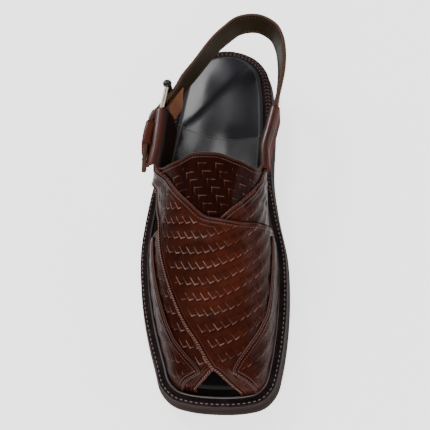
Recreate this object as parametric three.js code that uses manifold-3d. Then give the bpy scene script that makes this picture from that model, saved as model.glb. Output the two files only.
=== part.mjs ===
import * as THREE from 'three';
import { mergeVertices } from 'three/addons/utils/BufferGeometryUtils.js';
import Module from 'manifold-3d';

// Right-foot chappal, in millimetres. Toe towards -Y, medial side towards +X, floor at z = 0.

const welt = { thick: 4, beadIn: 3.5, beadOut: 4.7, beadHigh: 0.9 };
const sole = { gap: 0.3, flare: 2.6, groundInset: 2.2 };
const heelBlock = { breastY: 68, inset: 0.6 };
const footbed = { foreInset: 11.6, rearInset: 7.4, thick: 2.6, cup: 1.6 };
const feather = { inset: 6.7, drop: 3 };
const overBand = { inner: -2.9, outer: 0 };
const underBand = { inner: -3.9, outer: -1.9 };
const tongueWall = { thick: 1.9, underOver: -1.6, underUnder: -3.1 };
const wing = { gap: 0.3, thick: 1.2 };
const weaveRib = { period: 11, depth: 0.55 };
const strap = { wide: 17, thick: 3, bevel: 0.8 };
const sleeve = { wide: 21, thick: 7.6 };
const frameRod = { r: 1.5, half: 11.6 };
const roller = { r: 3.0, gap: 0.3 };
const keeper = { wall: 1.4, slack: 0.5 };
const guard = { wide: 15, thick: 1.8 };

// Plan of the welt's outer edge: lateral and medial x at each y, between the two tips.
const heelTip = { x: 2, y: 149.2 };
const toeTip = { x: 10, y: -149.2 };
const plan = [
  { y: 146.6, lateral: -11, medial: 15 },
  { y: 139, lateral: -23.5, medial: 27.5 },
  { y: 126, lateral: -32.5, medial: 36.4 },
  { y: 105, lateral: -36.7, medial: 40.7 },
  { y: 70, lateral: -41, medial: 42.4 },
  { y: 30, lateral: -47.2, medial: 41.6 },
  { y: 0, lateral: -51.6, medial: 45.6 },
  { y: -34, lateral: -54, medial: 52.4 },
  { y: -64, lateral: -50.8, medial: 54 },
  { y: -94, lateral: -44, medial: 52.8 },
  { y: -122, lateral: -34.6, medial: 49.2 },
  { y: -136, lateral: -29.2, medial: 45.6 },
  { y: -144.4, lateral: -20.5, medial: 38.5 },
  { y: -148, lateral: -8, medial: 27 },
];

// Side view: welt top, underside of the outsole, and the crest of the last at each y.
const side = [
  { y: -152, top: 24.6, under: 9.2 },
  { y: -130, top: 20.5, under: 4.4 },
  { y: -110, top: 18.3, under: 1.5 },
  { y: -92, top: 17.3, under: 0 },
  { y: -50, top: 17, under: 0 },
  { y: -22, top: 18.2, under: 0 },
  { y: 20, top: 22.3, under: 5.0 },
  { y: 60, top: 26.3, under: 12.2 },
  { y: 84, top: 28, under: 14 },
  { y: 110, top: 29, under: 14.6 },
  { y: 152, top: 29.5, under: 15 },
];
const crest = [
  { y: -142.6, z: 21 },
  { y: -140.6, z: 29 },
  { y: -136, z: 36 },
  { y: -130, z: 40.5 },
  { y: -110, z: 47 },
  { y: -80, z: 55.5 },
  { y: -50, z: 65.5 },
  { y: -20, z: 77 },
  { y: 8, z: 88 },
  { y: 20, z: 92 },
  { y: 40, z: 96 },
];
// Section of the last: power of its arch, crest shift to medial, outward swell of each flank.
const section = [
  { y: -143, power: 0.7, shift: 0, lateral: 0.2, medial: 0.2 },
  { y: -100, power: 0.8, shift: 1, lateral: 0.4, medial: 0.4 },
  { y: -60, power: 0.86, shift: 1.6, lateral: 0.5, medial: 0.5 },
  { y: -20, power: 0.9, shift: 2.4, lateral: 2, medial: 3 },
  { y: 0, power: 0.91, shift: 2.8, lateral: 4, medial: 8 },
  { y: 20, power: 0.92, shift: 3, lateral: 6.5, medial: 11.5 },
  { y: 40, power: 0.92, shift: 3, lateral: 7, medial: 12.5 },
];

// Panel edges on the last: y along the foot; a runs from -1, the lateral edge, over the crest to 1, medial.
const overLow = [
  { t: 0, y: -141.4, a: 0.44 },
  { t: 0.06, y: -136, a: 0.12 },
  { t: 0.12, y: -129, a: 0.02 },
  { t: 0.22, y: -115, a: -0.11 },
  { t: 0.32, y: -100, a: -0.26 },
  { t: 0.44, y: -78, a: -0.39 },
  { t: 0.54, y: -60, a: -0.46 },
  { t: 0.64, y: -44, a: -0.51 },
  { t: 0.72, y: -27, a: -0.54 },
  { t: 0.78, y: -17, a: -0.7 },
  { t: 0.84, y: -7, a: -0.82 },
  { t: 0.9, y: 5, a: -0.86 },
  { t: 0.95, y: 16, a: -0.845 },
  { t: 1, y: 27, a: -0.8 },
];
const overHigh = [
  { t: 0, y: -140.6, a: 1 },
  { t: 0.06, y: -137, a: 1 },
  { t: 0.22, y: -108, a: 1 },
  { t: 0.44, y: -62, a: 1 },
  { t: 0.56, y: -28, a: 1 },
  { t: 0.62, y: -30, a: 0.55 },
  { t: 0.67, y: -35, a: 0.25 },
  { t: 0.72, y: -34, a: 0.03 },
  { t: 0.78, y: -24, a: -0.15 },
  { t: 0.84, y: -12, a: -0.32 },
  { t: 0.9, y: 3, a: -0.48 },
  { t: 0.95, y: 15, a: -0.6 },
  { t: 1, y: 27, a: -0.68 },
];
const underLow = [
  { t: 0, y: -141.4, a: -0.46 },
  { t: 0.06, y: -136.5, a: -0.14 },
  { t: 0.12, y: -129, a: 0.01 },
  { t: 0.22, y: -114, a: 0.13 },
  { t: 0.32, y: -99, a: 0.27 },
  { t: 0.44, y: -78, a: 0.39 },
  { t: 0.54, y: -60, a: 0.46 },
  { t: 0.64, y: -46, a: 0.55 },
  { t: 0.72, y: -34, a: 0.72 },
  { t: 0.78, y: -24, a: 0.82 },
  { t: 0.84, y: -10, a: 0.86 },
  { t: 0.9, y: 5, a: 0.86 },
  { t: 0.95, y: 16, a: 0.845 },
  { t: 1, y: 27, a: 0.8 },
];
const underHigh = [
  { t: 0, y: -140.6, a: -1 },
  { t: 0.06, y: -137, a: -1 },
  { t: 0.22, y: -108, a: -1 },
  { t: 0.44, y: -62, a: -1 },
  { t: 0.56, y: -31, a: -1 },
  { t: 0.62, y: -33, a: -0.55 },
  { t: 0.67, y: -37, a: -0.25 },
  { t: 0.72, y: -36, a: 0.03 },
  { t: 0.78, y: -27, a: 0.2 },
  { t: 0.84, y: -14, a: 0.4 },
  { t: 0.9, y: 2, a: 0.56 },
  { t: 0.95, y: 15, a: 0.64 },
  { t: 1, y: 27, a: 0.68 },
];
const tongueTop = [
  { t: 0, y: 1, a: -0.5 },
  { t: 0.18, y: 4, a: -0.3 },
  { t: 0.4, y: 8, a: -0.08 },
  { t: 0.54, y: 8, a: 0.06 },
  { t: 0.72, y: 5.5, a: 0.24 },
  { t: 0.88, y: 5, a: 0.42 },
  { t: 1, y: 5.5, a: 0.58 },
];
const tongueFoot = [
  { t: 0, y: -40, a: -0.5 },
  { t: 0.5, y: -70, a: 0 },
  { t: 1, y: -40, a: 0.58 },
];
const wingLateralEdge = [
  { t: 0, y: -140.2, a: -0.66 },
  { t: 0.08, y: -136.6, a: -0.32 },
  { t: 0.16, y: -131.5, a: -0.12 },
  { t: 0.3, y: -119, a: -0.3 },
  { t: 0.4, y: -109, a: -0.43 },
  { t: 0.55, y: -92, a: -0.53 },
  { t: 0.7, y: -72, a: -0.6 },
  { t: 0.85, y: -51, a: -0.65 },
  { t: 1, y: -34, a: -0.7 },
];
const wingMedialEdge = [
  { t: 0, y: -139.6, a: 0.66 },
  { t: 0.08, y: -135.5, a: 0.34 },
  { t: 0.16, y: -130.5, a: 0.16 },
  { t: 0.3, y: -114, a: 0.34 },
  { t: 0.4, y: -104, a: 0.47 },
  { t: 0.55, y: -88, a: 0.62 },
  { t: 0.7, y: -73, a: 0.67 },
  { t: 0.85, y: -53, a: 0.71 },
  { t: 1, y: -32, a: 0.74 },
];
const wingFoot = [
  { t: 0, y: -140 },
  { t: 0.16, y: -131 },
  { t: 0.55, y: -92 },
  { t: 1, y: -33 },
];

// Centre line of the heel strap, and how far its upper edge leans outwards, in degrees.
const strapLine = [
  { x: 44.4, y: 50, z: 58.5, lean: 0 },
  { x: 45.9, y: 65, z: 60.4, lean: 2 },
  { x: 48.3, y: 80, z: 61.5, lean: 6 },
  { x: 50.4, y: 96, z: 62, lean: 8 },
  { x: 50.6, y: 111, z: 62.5, lean: 12 },
  { x: 48.2, y: 126, z: 63, lean: 16 },
  { x: 42.4, y: 136.6, z: 64, lean: 22 },
  { x: 30, y: 144, z: 65, lean: 26 },
  { x: 16.5, y: 142.6, z: 65, lean: 26 },
  { x: 7, y: 134.8, z: 64, lean: 25 },
  { x: -1.7, y: 124.6, z: 63, lean: 24 },
  { x: -13.8, y: 104, z: 62, lean: 22 },
  { x: -22.8, y: 89, z: 62, lean: 18 },
  { x: -29, y: 77.5, z: 61.6, lean: 12 },
  { x: -37, y: 70.2, z: 61, lean: 4 },
  { x: -45.6, y: 64.6, z: 60.4, lean: 0 },
  { x: -49.6, y: 54, z: 59.4, lean: 0 },
  { x: -50.2, y: 38, z: 57.4, lean: 0 },
  { x: -50.4, y: 22, z: 55.2, lean: 0 },
  { x: -50.2, y: 13, z: 54, lean: 0 },
];
const guardLine = [
  { x: -21.6, y: 82.4, z: 59, lean: 16 },
  { x: -24.4, y: 76.6, z: 58.4, lean: 14 },
  { x: -27.2, y: 69.6, z: 57.6, lean: 9 },
  { x: -30, y: 62, z: 56.6, lean: 4 },
];
const sleeveRear = {
  lateral: { x: -39.6, y: 61, z: 58.8 },
  medial: { x: 45.3, y: 60, z: 59.8 },
};
const sleeveRise = 4;

const { smoothstep } = THREE.MathUtils;
const wasm = await Module();
wasm.setup();

// Cubic through table rows with slopes that never overshoot.
function tableValue(rows, key, at, col) {
  const last = rows.length - 1;
  if (at <= rows[0][key]) return rows[0][col];
  if (at >= rows[last][key]) return rows[last][col];
  let i = 0;
  while (rows[i + 1][key] < at) i += 1;
  const rise = (j) => (rows[j + 1][col] - rows[j][col]) / (rows[j + 1][key] - rows[j][key]);
  const slope = (j) => {
    if (j === 0) return rise(0);
    if (j === last) return rise(last - 1);
    const p = rise(j - 1);
    const q = rise(j);
    return p * q <= 0 ? 0 : (2 * p * q) / (p + q);
  };
  const h = rows[i + 1][key] - rows[i][key];
  const s = (at - rows[i][key]) / h;
  const start = rows[i][col] * (1 + 2 * s) * (1 - s) ** 2 + slope(i) * h * s * (1 - s) ** 2;
  const end = rows[i + 1][col] * s * s * (3 - 2 * s) + slope(i + 1) * h * s * s * (s - 1);
  return start + end;
}

const topZ = (y) => tableValue(side, 'y', y, 'top');
const underZ = (y) => tableValue(side, 'y', y, 'under');

// Closed geometry from points and triangles, turned so that its faces look outwards.
function solid(points, faces) {
  const flat = new Float32Array(points.length * 3);
  points.forEach((p, i) => p.toArray(flat, i * 3));
  let volume = 0;
  for (const [i, j, k] of faces) volume += points[i].dot(points[j].clone().cross(points[k]));
  const index = faces.flatMap(([i, j, k]) => (volume > 0 ? [i, j, k] : [i, k, j]));
  const geometry = new THREE.BufferGeometry();
  geometry.setAttribute('position', new THREE.BufferAttribute(flat, 3));
  geometry.setIndex(index);
  return geometry;
}

function toManifold(geometry) {
  const bare = geometry.clone();
  bare.deleteAttribute('normal');
  bare.deleteAttribute('uv');
  const merged = mergeVertices(bare, 1e-4);
  return new wasm.Manifold(new wasm.Mesh({
    numProp: 3,
    vertProperties: new Float32Array(merged.attributes.position.array),
    triVerts: new Uint32Array(merged.index.array),
  }));
}

function toGeometry(body) {
  const mesh = body.getMesh();
  const geometry = new THREE.BufferGeometry();
  const xyz = new Float32Array(mesh.numVert * 3);
  for (let i = 0; i < mesh.numVert; i += 1) {
    for (let k = 0; k < 3; k += 1) xyz[i * 3 + k] = mesh.vertProperties[i * mesh.numProp + k];
  }
  geometry.setAttribute('position', new THREE.BufferAttribute(xyz, 3));
  geometry.setIndex([...mesh.triVerts]);
  return geometry;
}

// Outline loop: heel tip, down the medial side to the toe tip, back up the lateral side.
const loopKnots = [
  new THREE.Vector3(heelTip.x, heelTip.y, 0),
  ...plan.map((row) => new THREE.Vector3(row.medial, row.y, 0)),
  new THREE.Vector3(toeTip.x, toeTip.y, 0),
  ...[...plan].reverse().map((row) => new THREE.Vector3(row.lateral, row.y, 0)),
];
const loopCurve = new THREE.CatmullRomCurve3(loopKnots, true, 'centripetal');
const perKnot = 3;
const loopCount = loopKnots.length * perKnot;
const loopHalf = loopCount / 2;
const loopPoint = (i) => loopCurve.getPoint((((i % loopCount) + loopCount) % loopCount) / loopCount);
const loopBase = Array.from({ length: loopCount }, (_, i) => loopPoint(i));
const loopIn = loopBase.map((_, i) => {
  const along = loopPoint(i + 0.5).sub(loopPoint(i - 0.5)).normalize();
  return new THREE.Vector3(along.y, -along.x, 0);
});

// One ring of the outline: moved inwards by inset(y), at the height that zAt gives.
function ring(inset, zAt) {
  return loopBase.map((p, i) => {
    const d = typeof inset === 'function' ? inset(p.y) : inset;
    const q = p.clone().addScaledVector(loopIn[i], d);
    q.z = zAt(q.y, q.x);
    return q;
  });
}

// Plate from rings, closed below and above by rows of points between the two sides.
function plate(rings, lowZ, highZ, columns) {
  const points = rings.flat();
  const faces = [];
  for (let r = 0; r + 1 < rings.length; r += 1) {
    for (let i = 0; i < loopCount; i += 1) {
      const j = (i + 1) % loopCount;
      const a = r * loopCount;
      const b = a + loopCount;
      faces.push([a + i, b + i, b + j], [a + i, b + j, a + j]);
    }
  }
  const cap = (start, zAt, turned) => {
    const rowOf = (i) => {
      const from = points[start + i];
      const to = points[start + loopCount - i];
      const ids = [start + i];
      for (let k = 1; k < columns; k += 1) {
        const p = from.clone().lerp(to, k / columns);
        p.z = zAt(p.y, p.x);
        ids.push(points.push(p) - 1);
      }
      return [...ids, start + loopCount - i];
    };
    const put = (i, j, k) => faces.push(turned ? [i, k, j] : [i, j, k]);
    let before = rowOf(1);
    for (let k = 0; k < columns; k += 1) put(start, before[k], before[k + 1]);
    for (let i = 2; i < loopHalf; i += 1) {
      const row = rowOf(i);
      for (let k = 0; k < columns; k += 1) {
        put(before[k], row[k], row[k + 1]);
        put(before[k], row[k + 1], before[k + 1]);
      }
      before = row;
    }
    for (let k = 0; k < columns; k += 1) put(start + loopHalf, before[k + 1], before[k]);
  };
  cap(0, lowZ, false);
  cap((rings.length - 1) * loopCount, highZ, true);
  return solid(points, faces);
}

// Sides of the last at the feather line, read off the outline moved inwards.
const featherRing = ring(feather.inset, () => 0);
function featherX(y, from, step) {
  for (let i = 0; i < loopHalf; i += 1) {
    const p = featherRing[(from + i * step + loopCount) % loopCount];
    const q = featherRing[(from + (i + 1) * step + loopCount) % loopCount];
    if (p.y >= y && q.y <= y && p.y > q.y) return p.x + ((q.x - p.x) * (p.y - y)) / (p.y - q.y);
  }
  return featherRing[loopHalf].x;
}

// Last: an arch at each y, from the lateral feather edge (a = -1) over the crest to the medial one (a = 1).
function lastPoint(y, a) {
  const left = featherX(y, 0, -1);
  const right = featherX(y, 0, 1);
  const foot = topZ(y) - feather.drop;
  const high = tableValue(crest, 'y', y, 'z');
  const power = tableValue(section, 'y', y, 'power');
  const mid = (left + right) / 2 + tableValue(section, 'y', y, 'shift');
  const turn = (Math.abs(a) * Math.PI) / 2;
  const out = Math.sin(turn) ** power;
  const up = Math.max(0, Math.cos(turn)) ** power;
  const swell = tableValue(section, 'y', y, a < 0 ? 'lateral' : 'medial') * Math.sin(2 * turn);
  const x = a < 0 ? mid + (left - mid) * out - swell : mid + (right - mid) * out + swell;
  return new THREE.Vector3(x, y, foot + (high - foot) * up);
}

// The same point moved off along the outward normal.
function lastAt(y, a, off) {
  const dy = 0.4;
  const da = 0.006;
  const alongY = lastPoint(y + dy, a).sub(lastPoint(y - dy, a));
  const low = Math.max(-1, a - da);
  const high = Math.min(1, a + da);
  const alongA = lastPoint(y, high).sub(lastPoint(y, low));
  const normal = alongA.cross(alongY).normalize();
  return lastPoint(y, a).addScaledVector(normal, off);
}

// Wall between two edges on the last; inner and outer offsets may vary with place.
function wall(low, high, rows, columns, innerAt, outerAt) {
  const points = [];
  const faces = [];
  const id = (layer, i, j) => layer * (rows + 1) * (columns + 1) + i * (columns + 1) + j;
  for (const offAt of [innerAt, outerAt]) {
    for (let i = 0; i <= rows; i += 1) {
      const t = i / rows;
      const from = { y: tableValue(low, 't', t, 'y'), a: tableValue(low, 't', t, 'a') };
      const to = { y: tableValue(high, 't', t, 'y'), a: tableValue(high, 't', t, 'a') };
      for (let j = 0; j <= columns; j += 1) {
        const s = j / columns;
        const y = from.y + (to.y - from.y) * s;
        const a = from.a + (to.a - from.a) * s;
        points.push(lastAt(y, a, offAt(y, a, t, s)));
      }
    }
  }
  for (let i = 0; i < rows; i += 1) {
    for (let j = 0; j < columns; j += 1) {
      const square = (l) => [id(l, i, j), id(l, i + 1, j), id(l, i + 1, j + 1), id(l, i, j + 1)];
      const [a, b, c, d] = square(0);
      const [e, f, g, h] = square(1);
      faces.push([a, b, c], [a, c, d], [e, g, f], [e, h, g]);
    }
  }
  const rim = [];
  for (let j = 0; j < columns; j += 1) rim.push([0, j]);
  for (let i = 0; i < rows; i += 1) rim.push([i, columns]);
  for (let j = columns; j > 0; j -= 1) rim.push([rows, j]);
  for (let i = rows; i > 0; i -= 1) rim.push([i, 0]);
  rim.forEach(([i, j], k) => {
    const [m, n] = rim[(k + 1) % rim.length];
    faces.push([id(0, i, j), id(0, m, n), id(1, m, n)], [id(0, i, j), id(1, m, n), id(1, i, j)]);
  });
  return solid(points, faces);
}

// Profile carried along a line; the profile's second axis leans off the vertical.
function sweep(line, profile, count) {
  const curve = new THREE.CatmullRomCurve3(line.map((row) => new THREE.Vector3(row.x, row.y, row.z)));
  const leanAt = (u) => {
    const f = u * (line.length - 1);
    const i = Math.min(Math.floor(f), line.length - 2);
    const lean = line[i].lean + (line[i + 1].lean - line[i].lean) * (f - i);
    return THREE.MathUtils.degToRad(lean);
  };
  const points = [];
  for (let i = 0; i <= count; i += 1) {
    const u = i / count;
    const centre = curve.getPoint(u);
    const along = curve.getTangent(u);
    const outward = new THREE.Vector3(along.y, -along.x, 0).normalize();
    const tilt = leanAt(u);
    const rise = new THREE.Vector3(0, 0, Math.cos(tilt)).addScaledVector(outward, Math.sin(tilt));
    const across = along.clone().cross(rise).normalize();
    for (const [p, q] of profile(u)) {
      points.push(centre.clone().addScaledVector(across, p).addScaledVector(rise, q));
    }
  }
  return tube(points, profile(0), count);
}

// Skin over rows of profile points, with both ends closed.
function tube(points, profile, count) {
  const n = profile.length;
  const faces = [];
  for (let i = 0; i < count; i += 1) {
    for (let k = 0; k < n; k += 1) {
      const m = (k + 1) % n;
      const a = i * n;
      faces.push([a + k, a + n + k, a + n + m], [a + k, a + n + m, a + m]);
    }
  }
  const ends = THREE.ShapeUtils.triangulateShape(profile.map(([p, q]) => new THREE.Vector2(p, q)), []);
  const turned = THREE.ShapeUtils.area(profile.map(([p, q]) => new THREE.Vector2(p, q))) < 0;
  for (const [i, j, k] of ends) {
    const z = count * n;
    faces.push(turned ? [i, k, j] : [i, j, k]);
    faces.push(turned ? [z + i, z + j, z + k] : [z + i, z + k, z + j]);
  }
  return solid(points, faces);
}

// Rectangle with cut corners, counter-clockwise.
function bevelled(wide, high, cut) {
  const p = wide / 2;
  const q = high / 2;
  return [[-p, -q + cut], [-p + cut, -q], [p - cut, -q], [p, -q + cut],
    [p, q - cut], [p - cut, q], [-p + cut, q], [-p, q - cut]];
}

// Leather loop in section: a flat foot and a half-round fold on top.
function folded(wide, high) {
  const r = wide / 2;
  const q = high / 2;
  const points = [[-r + 0.6, -q], [r - 0.6, -q], [r, -q + 0.6]];
  for (let k = 0; k <= 8; k += 1) {
    const turn = (k / 8) * Math.PI;
    points.push([Math.cos(turn) * r, q - r + Math.sin(turn) * r]);
  }
  return [...points, [-r, -q + 0.6]];
}

// Sole parts.
const edgeRings = [
  ring(sole.groundInset - sole.flare, (y) => underZ(y)),
  ring(-sole.flare, (y) => underZ(y) + 2.6),
  ring(-sole.flare * 0.5, (y) => underZ(y) + 6),
  ring(0.2, (y) => topZ(y) - welt.thick - sole.gap),
];
const outsole = plate(edgeRings, (y) => underZ(y), (y) => topZ(y) - welt.thick - sole.gap, 2);

const weltRings = [
  ring(0, (y) => topZ(y) - welt.thick),
  ring(-0.5, (y) => topZ(y) - welt.thick / 2),
  ring(0.4, (y) => topZ(y)),
  ring(welt.beadIn - 0.3, (y) => topZ(y)),
  ring(welt.beadIn + 0.2, (y) => topZ(y) + welt.beadHigh),
  ring(welt.beadOut - 0.2, (y) => topZ(y) + welt.beadHigh),
  ring(welt.beadOut + 0.3, (y) => topZ(y)),
];
const weltPlate = plate(weltRings, (y) => topZ(y) - welt.thick, topZ, 2);

const heelMask = toManifold(new THREE.BoxGeometry(200, 200, 60).translate(0, heelBlock.breastY + 100, 0));
const heelRings = [
  ring(heelBlock.inset - sole.flare + 1.2, () => 0),
  ring(heelBlock.inset - sole.flare, () => 1.6),
  ring(heelBlock.inset - sole.flare + 1.6, (y) => Math.max(2.4, underZ(y) - sole.gap)),
];
const heelFull = plate(heelRings, () => 0, (y) => Math.max(2.4, underZ(y) - sole.gap), 2);
const heel = toGeometry(toManifold(heelFull).intersect(heelMask));

const bedBlend = (y) => smoothstep(y, -34, 16);
const bedInset = (y) => footbed.foreInset + (footbed.rearInset - footbed.foreInset) * bedBlend(y);
const bedTop = (y, x) => {
  const heelwards = smoothstep(y, 10, 110);
  const dish = Math.max(0, 1 - ((x - heelTip.x) / 34) ** 2);
  return topZ(y) + sole.gap + footbed.thick - footbed.cup * heelwards * dish;
};
const bedRings = [
  ring(bedInset, (y) => topZ(y) + sole.gap),
  ring(bedInset, (y, x) => bedTop(y, x) - 0.9),
  ring((y) => bedInset(y) + 0.9, bedTop),
];
const insole = plate(bedRings, (y) => topZ(y) + sole.gap, bedTop, 3);

// Upper: both bands and the tongue, trimmed just above the welt.
const between = (v, a, b, c, d) => smoothstep(v, a, b) * (1 - smoothstep(v, c, d));
const inField = (s) => between(s, 0.08, 0.2, 0.86, 0.98);
const rowsOn = (t) => between(t, 0.08, 0.16, 0.86, 0.92);
const ripple = (y, a, t, s) => {
  const field = inField(s) * rowsOn(t);
  const wave = 0.5 - 0.5 * Math.cos(((y + 6 * a * a) * 2 * Math.PI) / weaveRib.period);
  return -weaveRib.depth * wave * field;
};
const overWall = (low, high, inner, more) => wall(low, high, 50, 7, () => inner,
  (y, a, t, s) => overBand.outer + more + ripple(y, a, t, s));
const underWall = (low, high, inner, more) => wall(low, high, 36, 7, () => inner,
  (y, a, t, s) => underBand.outer + more + ripple(y, a, t, s));
const over = overWall(overLow, overHigh, overBand.inner, 0);
const under = underWall(underLow, underHigh, underBand.inner, 0);
const tongueOuter = (a) => {
  const blend = smoothstep(a, -0.06, 0.16);
  return tongueWall.underOver + (tongueWall.underUnder - tongueWall.underOver) * blend;
};
const tongueInner = (a) => tongueOuter(a) - tongueWall.thick;
const tongue = wall(tongueFoot, tongueTop, 12, 9, (y, a) => tongueInner(a), (y, a) => tongueOuter(a));

const floorRows = [];
for (let y = -170; y <= 60; y += 5) floorRows.push(new THREE.Vector2(y, topZ(y) + sole.gap));
const floorFoot = [new THREE.Vector2(-170, -20), new THREE.Vector2(60, -20)];
const floorShape = new THREE.Shape([...floorFoot, ...floorRows.reverse()]);
const floorCut = new THREE.ExtrudeGeometry(floorShape, { depth: 200, bevelEnabled: false, steps: 1 });
floorCut.rotateX(Math.PI / 2);
floorCut.rotateZ(Math.PI / 2);
floorCut.translate(-100, 0, 0);
const ground = toManifold(floorCut);
const upperBody = toManifold(over).add(toManifold(under)).add(toManifold(tongue)).subtract(ground);

// Wings lie on the bands: each is cut between its own skin and the bands with a little room added.
const overRoom = overWall(widen(overLow, -0.012), widen(overHigh, 0), overBand.inner - 1, wing.gap);
const bandRoom = toManifold(overRoom)
  .add(toManifold(underWall(underLow, underHigh, underBand.inner, wing.gap)));
const wingLow = (sign) => wingFoot.map((row) => ({ ...row, a: sign }));
const wingOn = (edge, sign, base) => {
  const skin = wall(edge, wingLow(sign), 20, 3, () => base - 0.4, () => base + wing.gap + wing.thick);
  return toGeometry(toManifold(skin).subtract(bandRoom).subtract(ground));
};
const wingLateral = wingOn(wingLateralEdge, -1, underBand.outer);
const wingMedial = wingOn(wingMedialEdge, 1, overBand.outer);

// Strap, sleeves and buckle.
const strapProfile = bevelled(strap.thick, strap.wide, strap.bevel);
const tipAt = (u) => Math.min(1, Math.max(0.12, (1 - u) / 0.035));
const strapBody = sweep(strapLine, (u) => strapProfile.map(([p, q]) => [p, q * tipAt(u)]), 52);
const strapRoom = sweep(strapLine, () => bevelled(strap.thick + 0.6, strap.wide + 0.6, strap.bevel), 52);

const sleeveLine = (sign, base, rear) => {
  const front = [12, 20, 28].map((y) => lastAt(y, sign * 0.75, base));
  const rows = front.map((p) => ({ x: p.x, y: p.y, z: p.z + sleeveRise, lean: 0 }));
  const last = rows[2];
  const mid = { x: (last.x + rear.x) / 2, y: (last.y + rear.y) / 2, z: (last.z + rear.z) / 2, lean: 0 };
  return [...rows, mid, { ...rear, lean: 0 }];
};
const earRoom = (low, high, inner, outer) => {
  const skin = wall(low, high, 48, 4, () => inner - 0.3, () => outer + 0.3);
  return toManifold(skin);
};
const sleeveProfile = folded(sleeve.thick, sleeve.wide);
const sleeveLateralLine = sleeveLine(-1, -1, sleeveRear.lateral);
const sleeveMedialLine = sleeveLine(1, -2.9, sleeveRear.medial);
const roomOver = earRoom(widen(overLow, -0.02), widen(overHigh, 0.02), overBand.inner, overBand.outer);
const roomUnder = earRoom(widen(underLow, 0.02), widen(underHigh, -0.02), underBand.inner, underBand.outer);
const roomTongue = toManifold(wall(tongueFoot, tongueTop, 14, 12, () => -6.4, () => 0.3));

// Edge moved along the girth, to leave a little room round an ear.
function widen(rows, by) {
  const last = rows.length - 1;
  return rows.map((row, i) => ({ ...row, y: row.y + (i === last ? 0.6 : 0), a: row.a + by }));
}

const sleeveLateral = toGeometry(toManifold(sweep(sleeveLateralLine, () => sleeveProfile, 10))
  .subtract(roomOver).subtract(roomTongue));
const sleeveMedial = toGeometry(toManifold(sweep(sleeveMedialLine, () => sleeveProfile, 10))
  .subtract(roomUnder).subtract(roomTongue).subtract(toManifold(strapRoom)));

const frameFront = { x: sleeveRear.lateral.x, y: sleeveRear.lateral.y + 0.4, z: 61.2 };
const frameBack = { x: -35.6, y: 79.6, z: 61.2 };
const rodRow = (end, dz) => new THREE.Vector3(end.x, end.y, end.z + dz);
function rod(from, to, r) {
  const along = to.clone().sub(from);
  const body = new THREE.CylinderGeometry(r, r, along.length(), 14);
  body.translate(0, along.length() / 2, 0);
  const upright = new THREE.Vector3(0, 1, 0);
  body.applyQuaternion(new THREE.Quaternion().setFromUnitVectors(upright, along.normalize()));
  body.translate(from.x, from.y, from.z);
  return toManifold(body);
}
const rodTop = rod(rodRow(frameFront, frameRod.half), rodRow(frameBack, frameRod.half), frameRod.r);
const rodLow = rod(rodRow(frameFront, -frameRod.half), rodRow(frameBack, -frameRod.half), frameRod.r);
const backHalf = frameRod.half + 1.4;
const rodBack = rod(rodRow(frameBack, -backHalf), rodRow(frameBack, backHalf), frameRod.r);
const buckleFrame = toGeometry(rodTop.add(rodLow).add(rodBack));
const rollerLong = frameRod.half - frameRod.r - roller.gap;
const rollerOut = rod(rodRow(frameBack, -rollerLong), rodRow(frameBack, rollerLong), roller.r);
const boreLong = rollerLong + 1;
const boreR = frameRod.r + roller.gap;
const rollerBore = rod(rodRow(frameBack, -boreLong), rodRow(frameBack, boreLong), boreR);
const buckleRoller = toGeometry(rollerOut.subtract(rollerBore));

const keeperLine = [
  { x: -50, y: 50, z: 58.9, lean: 0 },
  { x: -50.2, y: 38, z: 57.4, lean: 0 },
  { x: -50.35, y: 26, z: 55.8, lean: 0 },
];
const ringMore = 2 * (keeper.slack + keeper.wall);
const ringOut = bevelled(strap.thick + ringMore, strap.wide + ringMore, 1.2);
const keeperHole = [
  { x: -49.4, y: 60, z: 60.1, lean: 0 },
  ...keeperLine,
  { x: -50.35, y: 16, z: 54.4, lean: 0 },
];
const ringIn = bevelled(strap.thick + 2 * keeper.slack, strap.wide + 2 * keeper.slack, 0.6);
const strapKeeper = toGeometry(toManifold(sweep(keeperLine, () => ringOut, 8))
  .subtract(toManifold(sweep(keeperHole, () => ringIn, 16))));

const guardShape = (u) => bevelled(guard.thick, guard.wide - 5 * (1 - u), 0.5);
const buckleGuard = sweep(guardLine, guardShape, 12);

const group = new THREE.Group();
group.name = 'chappal';
function place(name, geometry, color, roughness) {
  const finished = geometry.index ? geometry : mergeVertices(geometry);
  finished.computeVertexNormals();
  const material = new THREE.MeshStandardMaterial({ color, roughness });
  material.name = name;
  const mesh = new THREE.Mesh(finished, material);
  mesh.name = name;
  group.add(mesh);
}

place('heel', heel, 0x1d1714, 0.7);
place('outsole', outsole, 0x2a1f1b, 0.65);
place('welt', weltPlate, 0x121012, 0.4);
place('insole', insole, 0x0d0d10, 0.25);
place('upper', toGeometry(upperBody), 0x44190f, 0.42);
place('wing_lateral', wingLateral, 0x44190f, 0.42);
place('wing_medial', wingMedial, 0x44190f, 0.42);
place('sleeve_lateral', sleeveLateral, 0x4a1d12, 0.4);
place('sleeve_medial', sleeveMedial, 0x4a1d12, 0.4);
place('heel_strap', strapBody, 0x3a2a1c, 0.55);
place('buckle_frame', buckleFrame, 0xd8cfb8, 0.25);
place('buckle_roller', buckleRoller, 0x15120f, 0.35);
place('strap_keeper', strapKeeper, 0x4a1d12, 0.4);
place('buckle_guard', buckleGuard, 0x9a5a30, 0.6);

export default group;
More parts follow.
